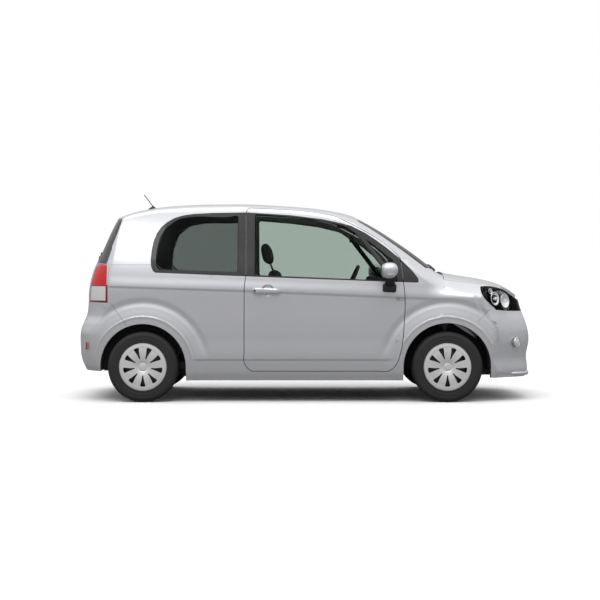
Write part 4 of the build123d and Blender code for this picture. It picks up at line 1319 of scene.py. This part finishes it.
SEAT_Y, SEAT_WIDE = -370.0, 500.0
cushion = foam((490, SEAT_WIDE - 10, 118), 0.10, 8, 10)
sew(cushion, (1, -150), (1, 150), (0, 150))
for v in cushion.verts:
    if abs(v.co.y) > 150 and v.co.z > 0:
        v.co.z += 10 * smooth((abs(v.co.y) - 150) / 60)
backrest = foam((606, SEAT_WIDE - 44, 116), 0.10, 8, 10)
sew(backrest, (1, -130), (1, 130), (0, -120), (0, 90))
headrest = foam((190, 250, 92), 0.16, 6, 8)
for side, sign in SIDES:
    for name, pad, matrix in (
            ("seat_cushion_", cushion, Matrix.Translation((120, SEAT_Y, 530))),
            ("seat_backrest_", backrest, stood_up((-190, SEAT_Y, 860), -20)),
            ("headrest_", headrest, stood_up((-338, SEAT_Y, 1277), -12))):
        padded_piece(name + side, pad, matrix, "front_seats", side == "left")
    middle = -sign * SEAT_Y
    bm = bmesh.new()
    for dy in (-50, 50):
        tube(bm, [((x, middle + dy, z), (5, 0, 1), (0, 5, 0))
                  for x, z in ((-276, 1100), (-326, 1230))], 12)
    add_piece("headrest_posts_" + side, bm, "body", bright_metal)
    bm = bmesh.new()
    slab(bm, (440, 400, 90), (120, middle, 432), 18)
    for dy in (-170, 170):
        slab(bm, (560, 40, 40), (110, middle + dy, 301), 6)
        for x in (-90, 310):
            slab(bm, (50, 30, 90), (x, middle + dy, 350), 6)
    slab(bm, (150, 30, 110), (-60, sign * 610, 500), 12, -20)
    add_piece("seat_base_" + side, bm, "body", cabin_plastic, ("front_seats",))

bench = foam((465, 1196, 122), 0.06, 10, 10)
sew(bench, (1, -200), (1, 200), (0, 60))
bench_back = foam((550, 1156, 116), 0.10, 10, 10)
sew(bench_back, (1, -200), (1, 200), (0, 100))
padded_piece("rear_bench_cushion", bench, Matrix.Translation((-715, 0, 536)), "rear_seat")
padded_piece("rear_bench_back", bench_back, stood_up((-985, 0, 860), -18), "rear_seat")
for made in (cushion, backrest, headrest, bench, bench_back):
    made.free()

# ---- Dashboard and steering wheel
# Moulded plastic on a steel beam: a padded top, an instrument hood in front of the driver,
# round vents, a centre stack with the gear lever and a lidded box before the passenger.

HUB, RIM_TILT = Vector((400, -370, 1000)), radians(24)


def make_dashboard():
    bm = merged_copy("dashboard")
    bmesh.ops.dissolve_limit(bm, angle_limit=radians(1), verts=bm.verts, edges=bm.edges)
    round_all(bm)
    slab(bm, (190, 330, 70), (640, -370, 1035), 32, 8, 4)
    slab(bm, (16, 270, 62), (560, -370, 1020), 7, -16, index=1)
    slab(bm, (90, 250, 330), (575, 0, 860), 26, 14, 4)
    slab(bm, (12, 190, 105), (527, 0, 925), 5, 14, index=1)
    for y in (-60, 0, 60):
        tube(bm, [((548, y, 815), (5, 0, 18), (0, 18, 0)),
                  ((520, y, 808), (4, 0, 15), (0, 15, 0))], 20)
    slab(bm, (60, 420, 150), (578, 400, 850), 20, 6)
    for y in (-640, -110, 110, 640):
        tube(bm, [((600, y, 962), (8, 0, 34), (0, 34, 0)), ((563, y, 956), (8, 0, 36), (0, 36, 0)),
                  ((560, y, 955), (7, 0, 30), (0, 30, 0))], 24)
    slab(bm, (500, 180, 120), (330, 0, 420), 30, 0, 4)
    tube(bm, upright((420, 0, 470, 34, 30), (430, 0, 520, 14, 12), (436, 0, 590, 9, 9),
                     (436, 0, 600, 20, 17), (436, 0, 640, 22, 19), (434, 0, 656, 12, 10)), 18)
    tube(bm, [((100, 0, 480), (16, 0, 6), (0, 13, 0)), ((-60, 0, 500), (13, 0, 13), (0, 12, 0)),
              ((-120, 0, 520), (6, 0, 9), (0, 8, 0))], 16)
    along = Vector((cos(RIM_TILT), 0, -sin(RIM_TILT)))
    up = Vector((sin(RIM_TILT), 0, cos(RIM_TILT)))
    tube(bm, [(HUB + along * 24, up * 42, (0, 40, 0)), (HUB + along * 60, up * 52, (0, 50, 0)),
              (HUB + along * 200, up * 58, (0, 60, 0))], 24, 2.6)
    for sign in (-1, 1):
        stalk = HUB + along * 70
        tube(bm, [(stalk, up * 7, along * 7),
                  (stalk + Vector((0, sign * 90, 4)), up * 6, along * 6),
                  (stalk + Vector((-6, sign * 170, 10)), up * 9, along * 6)], 12)
    return add_piece("dashboard_moulding", bm, "body", replaced=("dashboard",))


screen = make_plain("dark_screen", (0.004, 0.004, 0.005), (0.008, 0.008, 0.01), 0.12, 40, 0.0)
dress([make_dashboard()], cabin_plastic, screen)


def make_steering_wheel():
    bm = bmesh.new()
    made = bmesh.new()
    section = [(178 + 14 * cos(2 * pi * i / 14), 15 * sin(2 * pi * i / 14)) for i in range(14)]
    turned(made, section + section[:1], 56)
    turned(made, [(0, -20), (40, -19), (58, -12), (62, 2), (52, 16), (0, 17)], 40)
    for heading in (0, 180, 270):
        a = radians(heading)
        out = Vector((cos(a), 0, sin(a)))
        flat = Vector((-sin(a), 0, cos(a)))
        tube(made, [(out * 45, flat * 30, (0, 9, 0)), (out * 95, flat * 17, (0, 8, 0)),
                    (out * 172, flat * 24, (0, 8, 0))], 14, 2.6)
    face_out(made)
    round_all(made)
    tilt = Matrix.Rotation(RIM_TILT, 4, "Y") @ Matrix.Rotation(-pi / 2, 4, "Z")
    join_into(bm, made, Matrix.Translation(HUB) @ tilt)
    add_piece("steering_rim", bm, "steering_wheel", cabin_plastic,
              ("steering_wheel",))


make_steering_wheel()

# ---- Door handles, hinge ends and mirrors
# Painted pull bars over finger hollows, with a key lock in each; the painted ends of the hinge
# arms show in the door skins. The mirrors are painted shells with a turn signal in front, on
# black stalks at the front corners of the doors.

signal_lens = make_plain("signal_lens", (0.62, 0.62, 0.63), (0.8, 0.8, 0.81), 0.12, 300, 0.0003)
mirror_glass = make_plain("mirror_glass", (0.8, 0.82, 0.84), (0.82, 0.84, 0.86), 0.03, 20, 0.0,
                          1.0)


HANDLE_Z, LOCK_X = 952, -432


def make_handle(side, sign):
    bm = bmesh.new()
    rings = []
    for i in range(15):
        t = i / 14
        x = -461 + 255 * t
        end = sqrt(max(0.0, 1 - (2 * t - 1) ** 10))
        out = pressed_width(x, HANDLE_Z) + 24 * (1 - (2 * t - 1) ** 6) - 4
        rings.append(((x, sign * out, 951 - 3 * (2 * t - 1)), (0, 10 * end + 1, 0),
                      (0, 0, (25 - 4 * t) * end + 1)))
    tube(bm, rings, 20, 2.6)
    add_piece("door_handle_" + side, bm, "door_" + side, silver_paint)
    bm = bmesh.new()
    turned(bm, [(0, 2), (8, 2), (9, 0), (9, -8), (0, -8)], 24)
    place = (LOCK_X, pressed_width(LOCK_X, HANDLE_Z) + 26.5, HANDLE_Z + 1)
    bmesh.ops.translate(bm, vec=place, verts=bm.verts)
    bmesh.ops.scale(bm, vec=(1, sign, 1), verts=bm.verts)
    face_out(bm)
    add_piece("door_lock_" + side, bm, "door_" + side, black_plastic)


HINGE_SLOTS = {"upper": ((823, 880), (46, 14)), "lower": ((788.5, 518.5), (19, 19))}


def make_hinge_cover(side, sign, name, middle, size):
    """The outer end of a hinge arm, flush in the slot that the door skin has for it."""
    bm = bmesh.new()
    bmesh.ops.create_grid(bm, x_segments=12, y_segments=8, size=0.5)
    for v in bm.verts:
        x, z = middle[0] + v.co.x * size[0], middle[1] + v.co.y * size[1]
        v.co = (x, sign * pressed_width(x, z), z)
    bmesh.ops.translate(bm, vec=(0, -sign, 0), verts=doubled(bm))
    face_out(bm)
    round_all(bm)
    normals = [tuple(side_facing(corner.vert.co)) for f in bm.faces for corner in f.loops]
    piece = add_piece("hinge_cover_" + name + "_" + side, bm, "body", silver_paint)
    piece.data.attributes.new("film", "FLOAT", "POINT").data.foreach_set(
        "value", [-50.0] * len(piece.data.vertices))
    piece.data.normals_split_custom_set(normals)


for side, sign in SIDES:
    for name, (middle, size) in HINGE_SLOTS.items():
        make_hinge_cover(side, sign, name, middle, size)


SIGNAL_LEVELS = (1088, 1104)  # a mirror's turn signal lies between these heights


def make_door_mirror(side, sign):
    bm = bmesh.new()
    rows = [(706, sign * y, 1125 - 4 * (1 - high / 68), wide, high) for y, wide, high in
            ((853, 50, 44), (860, 62, 56), (880, 69, 63), (915, 73, 67), (960, 74, 68),
             (1000, 71, 64), (1022, 61, 54), (1034, 45, 38), (1038.5, 20, 16))]
    tube(bm, crosswise(*rows), 44, 2.5)
    for v in bm.verts:
        under = smooth((1118 - v.co.z) / 60)
        v.co.x += (706 - v.co.x) * 0.22 * under
    for level in SIGNAL_LEVELS:
        cut(bm, (0, 0, level), (0, 0, 1))
    cut(bm, (648, 0, 0), (-1, 0, 0), True)
    fill_holes(bm)
    for f in bm.faces:
        c = f.calc_center_median()
        if f.normal.x < -0.98 and c.x < 650:
            f.material_index = 1
        elif SIGNAL_LEVELS[0] < c.z < SIGNAL_LEVELS[1] and c.x > 680 and abs(c.y) > 890:
            f.material_index = 2
        f.smooth = f.material_index != 1
    shell = add_piece("mirror_shell_" + side, bm, "door_" + side,
                      replaced=("mirror_" + side,))
    dress([shell], silver_paint, black_plastic, signal_lens)
    bm = bmesh.new()
    tube(bm, crosswise(*((646, sign * y, 1127, 3, 50 * k) for y, k in
                         ((866, 0.7), (874, 0.9), (900, 1.0), (980, 1.0), (1010, 0.86),
                          (1020, 0.6)))), 24, 3.0)
    add_piece("mirror_glass_" + side, bm, "door_" + side, mirror_glass)
    bm = bmesh.new()
    tube(bm, [((716, sign * 842, 985), (46, 0, 0), (0, 18, 0)),
              ((721, sign * 862, 1030), (40, 0, 0), (0, 17, 0)),
              ((723, sign * 886, 1062), (40, 0, 6), (0, 17, 8)),
              ((722, sign * 905, 1080), (42, 0, 4), (0, 24, 6))], 24, 2.8)
    slab(bm, (118, 40, 74), (717, sign * 841, 978), 18, 3, 4)
    add_piece("mirror_foot_" + side, bm, "door_" + side, black_plastic)


for side, sign in SIDES:
    make_handle(side, sign)
    make_door_mirror(side, sign)

# ---- Wipers and antenna
# Two wipers park at the foot of the windshield on spindles in the scuttle. A short rod
# antenna stands on a rubber pod at the rear of the roof.

SPINDLE_X = 1186.5

bm = bmesh.new()
for y0, y1, x, pivot_y in ((-588, -32, 1120, -37), (-18, 538, 1165, 533)):
    rows = []
    for i in range(12):
        y = y0 + (y1 - y0) * i / 11
        rows.append((x, y, top(x, y) - 5 + 6, 3.2, 6 * (0.6 if i in (0, 11) else 1.0)))
    tube(bm, crosswise(*rows), 8, 3.0)
    middle = (y0 + y1) / 2
    rows = []
    for i in range(8):
        t = i / 7
        bx = SPINDLE_X + (x + 6 - SPINDLE_X) * smooth(t * 1.5)
        by = pivot_y + (middle - pivot_y) * t
        rows.append((bx, by, top(bx, by) - 5 + 9, 6 - 2 * t, 3.5))
    tube(bm, crosswise(*rows), 10, 2.6)
    tube(bm, upright((SPINDLE_X, pivot_y, 1042, 5, 5),
                     (SPINDLE_X, pivot_y, top(SPINDLE_X, pivot_y) + 4, 5, 5)), 14)
add_piece("windshield_wipers", bm, "body", black_plastic, ("wipers",))
bm = bmesh.new()
foot = top(-1365, 0)
tube(bm, upright((-1391, 0, foot - 3, 41, 15.5), (-1390, 0, foot + 10, 34, 14),
                 (-1386, 0, foot + 22, 20, 11), (-1385, 0, foot + 30, 8, 7)), 24, 2.3)
along = Vector((-0.6, 0, 0.8))
start = Vector((-1366, 0, foot + 2))
tube(bm, [(start + along * d, (r * 0.8, 0, r * 0.6), (0, r, 0)) for d, r in
          ((4, 6.5), (40, 5.6), (46, 4.2), (150, 3.8), (166, 3.6), (169, 2.0))], 12)
add_piece("roof_antenna", bm, "body", black_plastic, ("antenna",))

# ---- Front and rear bumper fittings
# Round fog lamps in painted rings sit in the front bumper, above a moulded chin lip. Small red
# reflectors sit low at the corners of the rear bumper.

red_plastic = make_plain("reflector_red", (0.30, 0.02, 0.02), (0.42, 0.04, 0.04), 0.15, 500,
                         0.0004)


def on_side(x, z, sign):
    """A point on the body's side and the outward direction there."""
    spot = Vector((x, sign * half_width(x, z), z))
    return spot, side_facing(spot)


for side, sign in SIDES:
    spot, facing = on_side(1842, 506, sign)
    facing = (facing + Vector((0.2, 0, 0))).normalized()
    centre = spot - facing * 12
    bm = bmesh.new()
    # Painted light: the bowl, bulb and glass of a fog lamp take the opaque pale lens finish,
    # standing in for the light seen through the clear glass and off the bright bowl.
    bowl(bm, centre, facing, 34, 20)
    bulb(bm, centre - facing * 8, facing, 8)
    round_all(bm)
    add_piece("fog_lamp_" + side, bm, "body", signal_lens)
    ring = [(34, 0), (35, -4), (42, -5), (45, 0), (45, 12), (34, 12), (34, 0)]
    glass = [(0, -9), (20, -7.5), (33, -2), (35, 2), (20, -3), (0, -5)]
    for name, section, slot, finish in (("ring", ring, "body_paint", silver_paint),
                                        ("glass", glass, "lamp_lens", signal_lens)):
        bm = bmesh.new()
        set_turned(bm, section, 40, centre, facing)
        round_all(bm)
        add_piece("fog_lamp_" + name + "_" + side, bm, "body", finish)
    spot, facing = on_side(-1884, 478, sign)
    bm = bmesh.new()
    beside = facing.cross(Vector((0, 0, 1)))
    rings = [(spot + Vector((0, 0, h)) + facing, beside * w, facing * 4) for h, w in
             ((-34, 3), (-31, 9), (31, 9), (34, 3))]
    tube(bm, rings, 14, 3.4)
    add_piece("rear_reflector_" + side, bm, "body", red_plastic)

bm = bmesh.new()
rings = []
for i in range(41):
    y = -690 + 1380 * i / 40
    end = sqrt(max(0.0, 1 - (y / 695) ** 16))
    ahead = Vector((1, -gradient(nose, y, 250)[0], 0)).normalized()
    rings.append((Vector((nose(y, 250), y, 236)) - ahead * 16, ahead * (28 * end + 1),
                  Vector((-4, 0, 22 * end + 1))))
tube(bm, rings, 20, 2.4)
add_piece("chin_lip", bm, "body", silver_paint)

# ---- Tailgate fittings
# A grab rail over the plate hollow with two small lamps, a high brake lamp above the glass,
# and a rear wiper on a spindle below it. The plate holder is left empty.

bm = bmesh.new()
rows = []
for i in range(15):
    y = -300 + 600 * i / 14
    end = sqrt(max(0.0, 1 - (y / 305) ** 10))
    rows.append((tail(y, 955) - 5, y, 955, 12 * end + 1, 17 * end + 1))
tube(bm, crosswise(*rows), 16, 2.6)
add_piece("tailgate_rail", bm, "tailgate", silver_paint)
bm = bmesh.new()
for y in (-110, 110):
    slab(bm, (16, 60, 12), (tail(y, 936) + 8, y, 934), 4)
add_piece("plate_lamps", bm, "tailgate", signal_lens)
bm = bmesh.new()
tube(bm, crosswise(*((tail(y, 1585) - 1, y, 1585, 3, h) for y, h in
                     ((-170, 3), (-164, 10), (0, 11), (164, 10), (170, 3)))), 14, 3.2)
add_piece("high_brake_lamp", bm, "tailgate", red_plastic)
bm = bmesh.new()
set_turned(bm, [(0, -14), (16, -12), (20, 0), (20, 8), (0, 8)], 24,
           (tail(0, 1165) - 2, 0, 1165), Vector((-1, 0, 0.4)).normalized())
for out, thick, high, spots in (
        (14, 5, (0, 3, 7), ((0, 1165), (-90, 1185), (-200, 1215), (-310, 1250))),
        (8, 6, (0, 1.5, 5), ((-120, 1206), (-200, 1228), (-300, 1256), (-400, 1284)))):
    tube(bm, [((tail(y, z) - out, y, z), (thick, 0, 0), high) for y, z in spots], 10, 2.6)
round_all(bm)
add_piece("rear_wiper", bm, "tailgate", black_plastic)

# ---- Cabin fittings and engine bay
# Inner mirror, sun visors, door armrests and pulls; in front the radiator behind the intake,
# the battery, the air filter and the reservoirs over the engine.

bm = bmesh.new()
tube(bm, [((470, 0, 1492), (10, 0, 0), (0, 12, 0)), ((440, 0, 1440), (6, 0, 2), (0, 6, 0))], 12)
slab(bm, (22, 240, 62), (430, 0, 1418), 14, 12)
for y in (-360, 360):
    slab(bm, (150, 380, 14), (385, y, 1533), 6, 14)
add_piece("inner_mirror_and_visors", bm, "body", cabin_plastic)
for side, sign in SIDES:
    bm = bmesh.new()
    slab(bm, (420, 56, 60), (-60, sign * 735, 800), 20, 4)
    slab(bm, (700, 26, 90), (60, sign * 748, 430), 12)
    slab(bm, (120, 22, 30), (330, sign * 748, 880), 8)
    add_piece("door_armrest_" + side, bm, "door_" + side, cabin_plastic)
bm = bmesh.new()
slab(bm, (34, 700, 330), (1858, 0, 625), 4, segments=1)
for level in range(480, 780, 12):
    slab(bm, (4, 660, 3), (1877, 0, level), 0.8, segments=1)
add_piece("radiator", bm, "body", chassis_black)
bm = bmesh.new()
slab(bm, (240, 175, 150), (1500, 260, 885), 8)
slab(bm, (240, 300, 70), (1330, -60, 880), 22, segments=4)
slab(bm, (120, 110, 130), (1290, -330, 870), 24, segments=4)
tube(bm, upright((1460, -60, 880, 26, 26), (1560, -60, 870, 26, 26), (1680, -40, 840, 24, 30)), 16)
for x, y in ((1290, -330), (1450, 330)):
    tube(bm, upright((x, y, 930, 24, 24), (x, y, 952, 24, 24)), 18)
add_piece("engine_bay_fittings", bm, "body", black_plastic)

# ---- Camera, floor and light
# A product studio: one long lens square to the right side, a pale floor, and soft light from
# the whole sky with one wide softbox above.

camera = bpy.data.objects.new("camera", bpy.data.cameras.new("camera"))
bpy.context.scene.collection.objects.link(camera)
camera.location = (-0.1145, -12.23, 1.07)
camera.rotation_euler = (pi / 2, 0, 0)
camera.data.lens = 80.2
camera.data.shift_x = 8 / 600
camera.data.shift_y = -23 / 600
bpy.context.scene.camera = camera
bpy.context.scene.view_settings.view_transform = "Standard"

bm = bmesh.new()
bmesh.ops.create_grid(bm, x_segments=1, y_segments=1, size=60,
                      matrix=Matrix.Translation((0, 0, cad_box[0][2])))
floor = bpy.data.objects.new("floor", bpy.data.meshes.new("floor"))
bm.to_mesh(floor.data)
bm.free()
bpy.context.scene.collection.objects.link(floor)
ground = Finish("pale_floor")
seen = ground.node("ShaderNodeLightPath", out="Is Camera Ray")
ground.surface(base_color=ground.mix(seen, (0.24, 0.24, 0.24), (0.97, 0.97, 0.97)),
               roughness=0.95, specular_ior_level=0.0)
dress([floor], ground)


HORIZON, ZENITH = 0.24, 1.15   # how bright the sky is that lights the vehicle


def studio_light():
    """White to the camera and through the glass; for the rest darker towards the horizon."""
    world = bpy.data.worlds.new("studio")
    bpy.context.scene.world = world
    sky = Nodes(world)
    sky.tree.nodes.clear()

    def background(level):
        return sky.node("ShaderNodeBackground", {}, {"Color": (1, 1, 1), "Strength": level})

    def blend(share, first, second):
        return sky.node("ShaderNodeMixShader", {}, {0: share, 1: first, 2: second})

    where = sky.node("ShaderNodeTexCoord", out="Generated")
    rise = sky.node("ShaderNodeSeparateXYZ", {}, {0: where}, "Z") ** 0.6
    camera_sees = sky.node("ShaderNodeLightPath", out="Is Camera Ray")
    seen = camera_sees.larger(sky.node("ShaderNodeLightPath", out="Is Transmission Ray"))
    dome = blend(rise, background(HORIZON), background(ZENITH))
    surface = sky.tree.nodes.new("ShaderNodeOutputWorld").inputs["Surface"]
    sky.plug(surface, blend(seen, dome, background(1.0)))


studio_light()
sun = bpy.data.objects.new("softbox", bpy.data.lights.new("softbox", "SUN"))
sun.data.energy = 1.1
sun.data.angle = radians(50)
sun.rotation_euler = (radians(32), radians(-8), 0)
bpy.context.scene.collection.objects.link(sun)
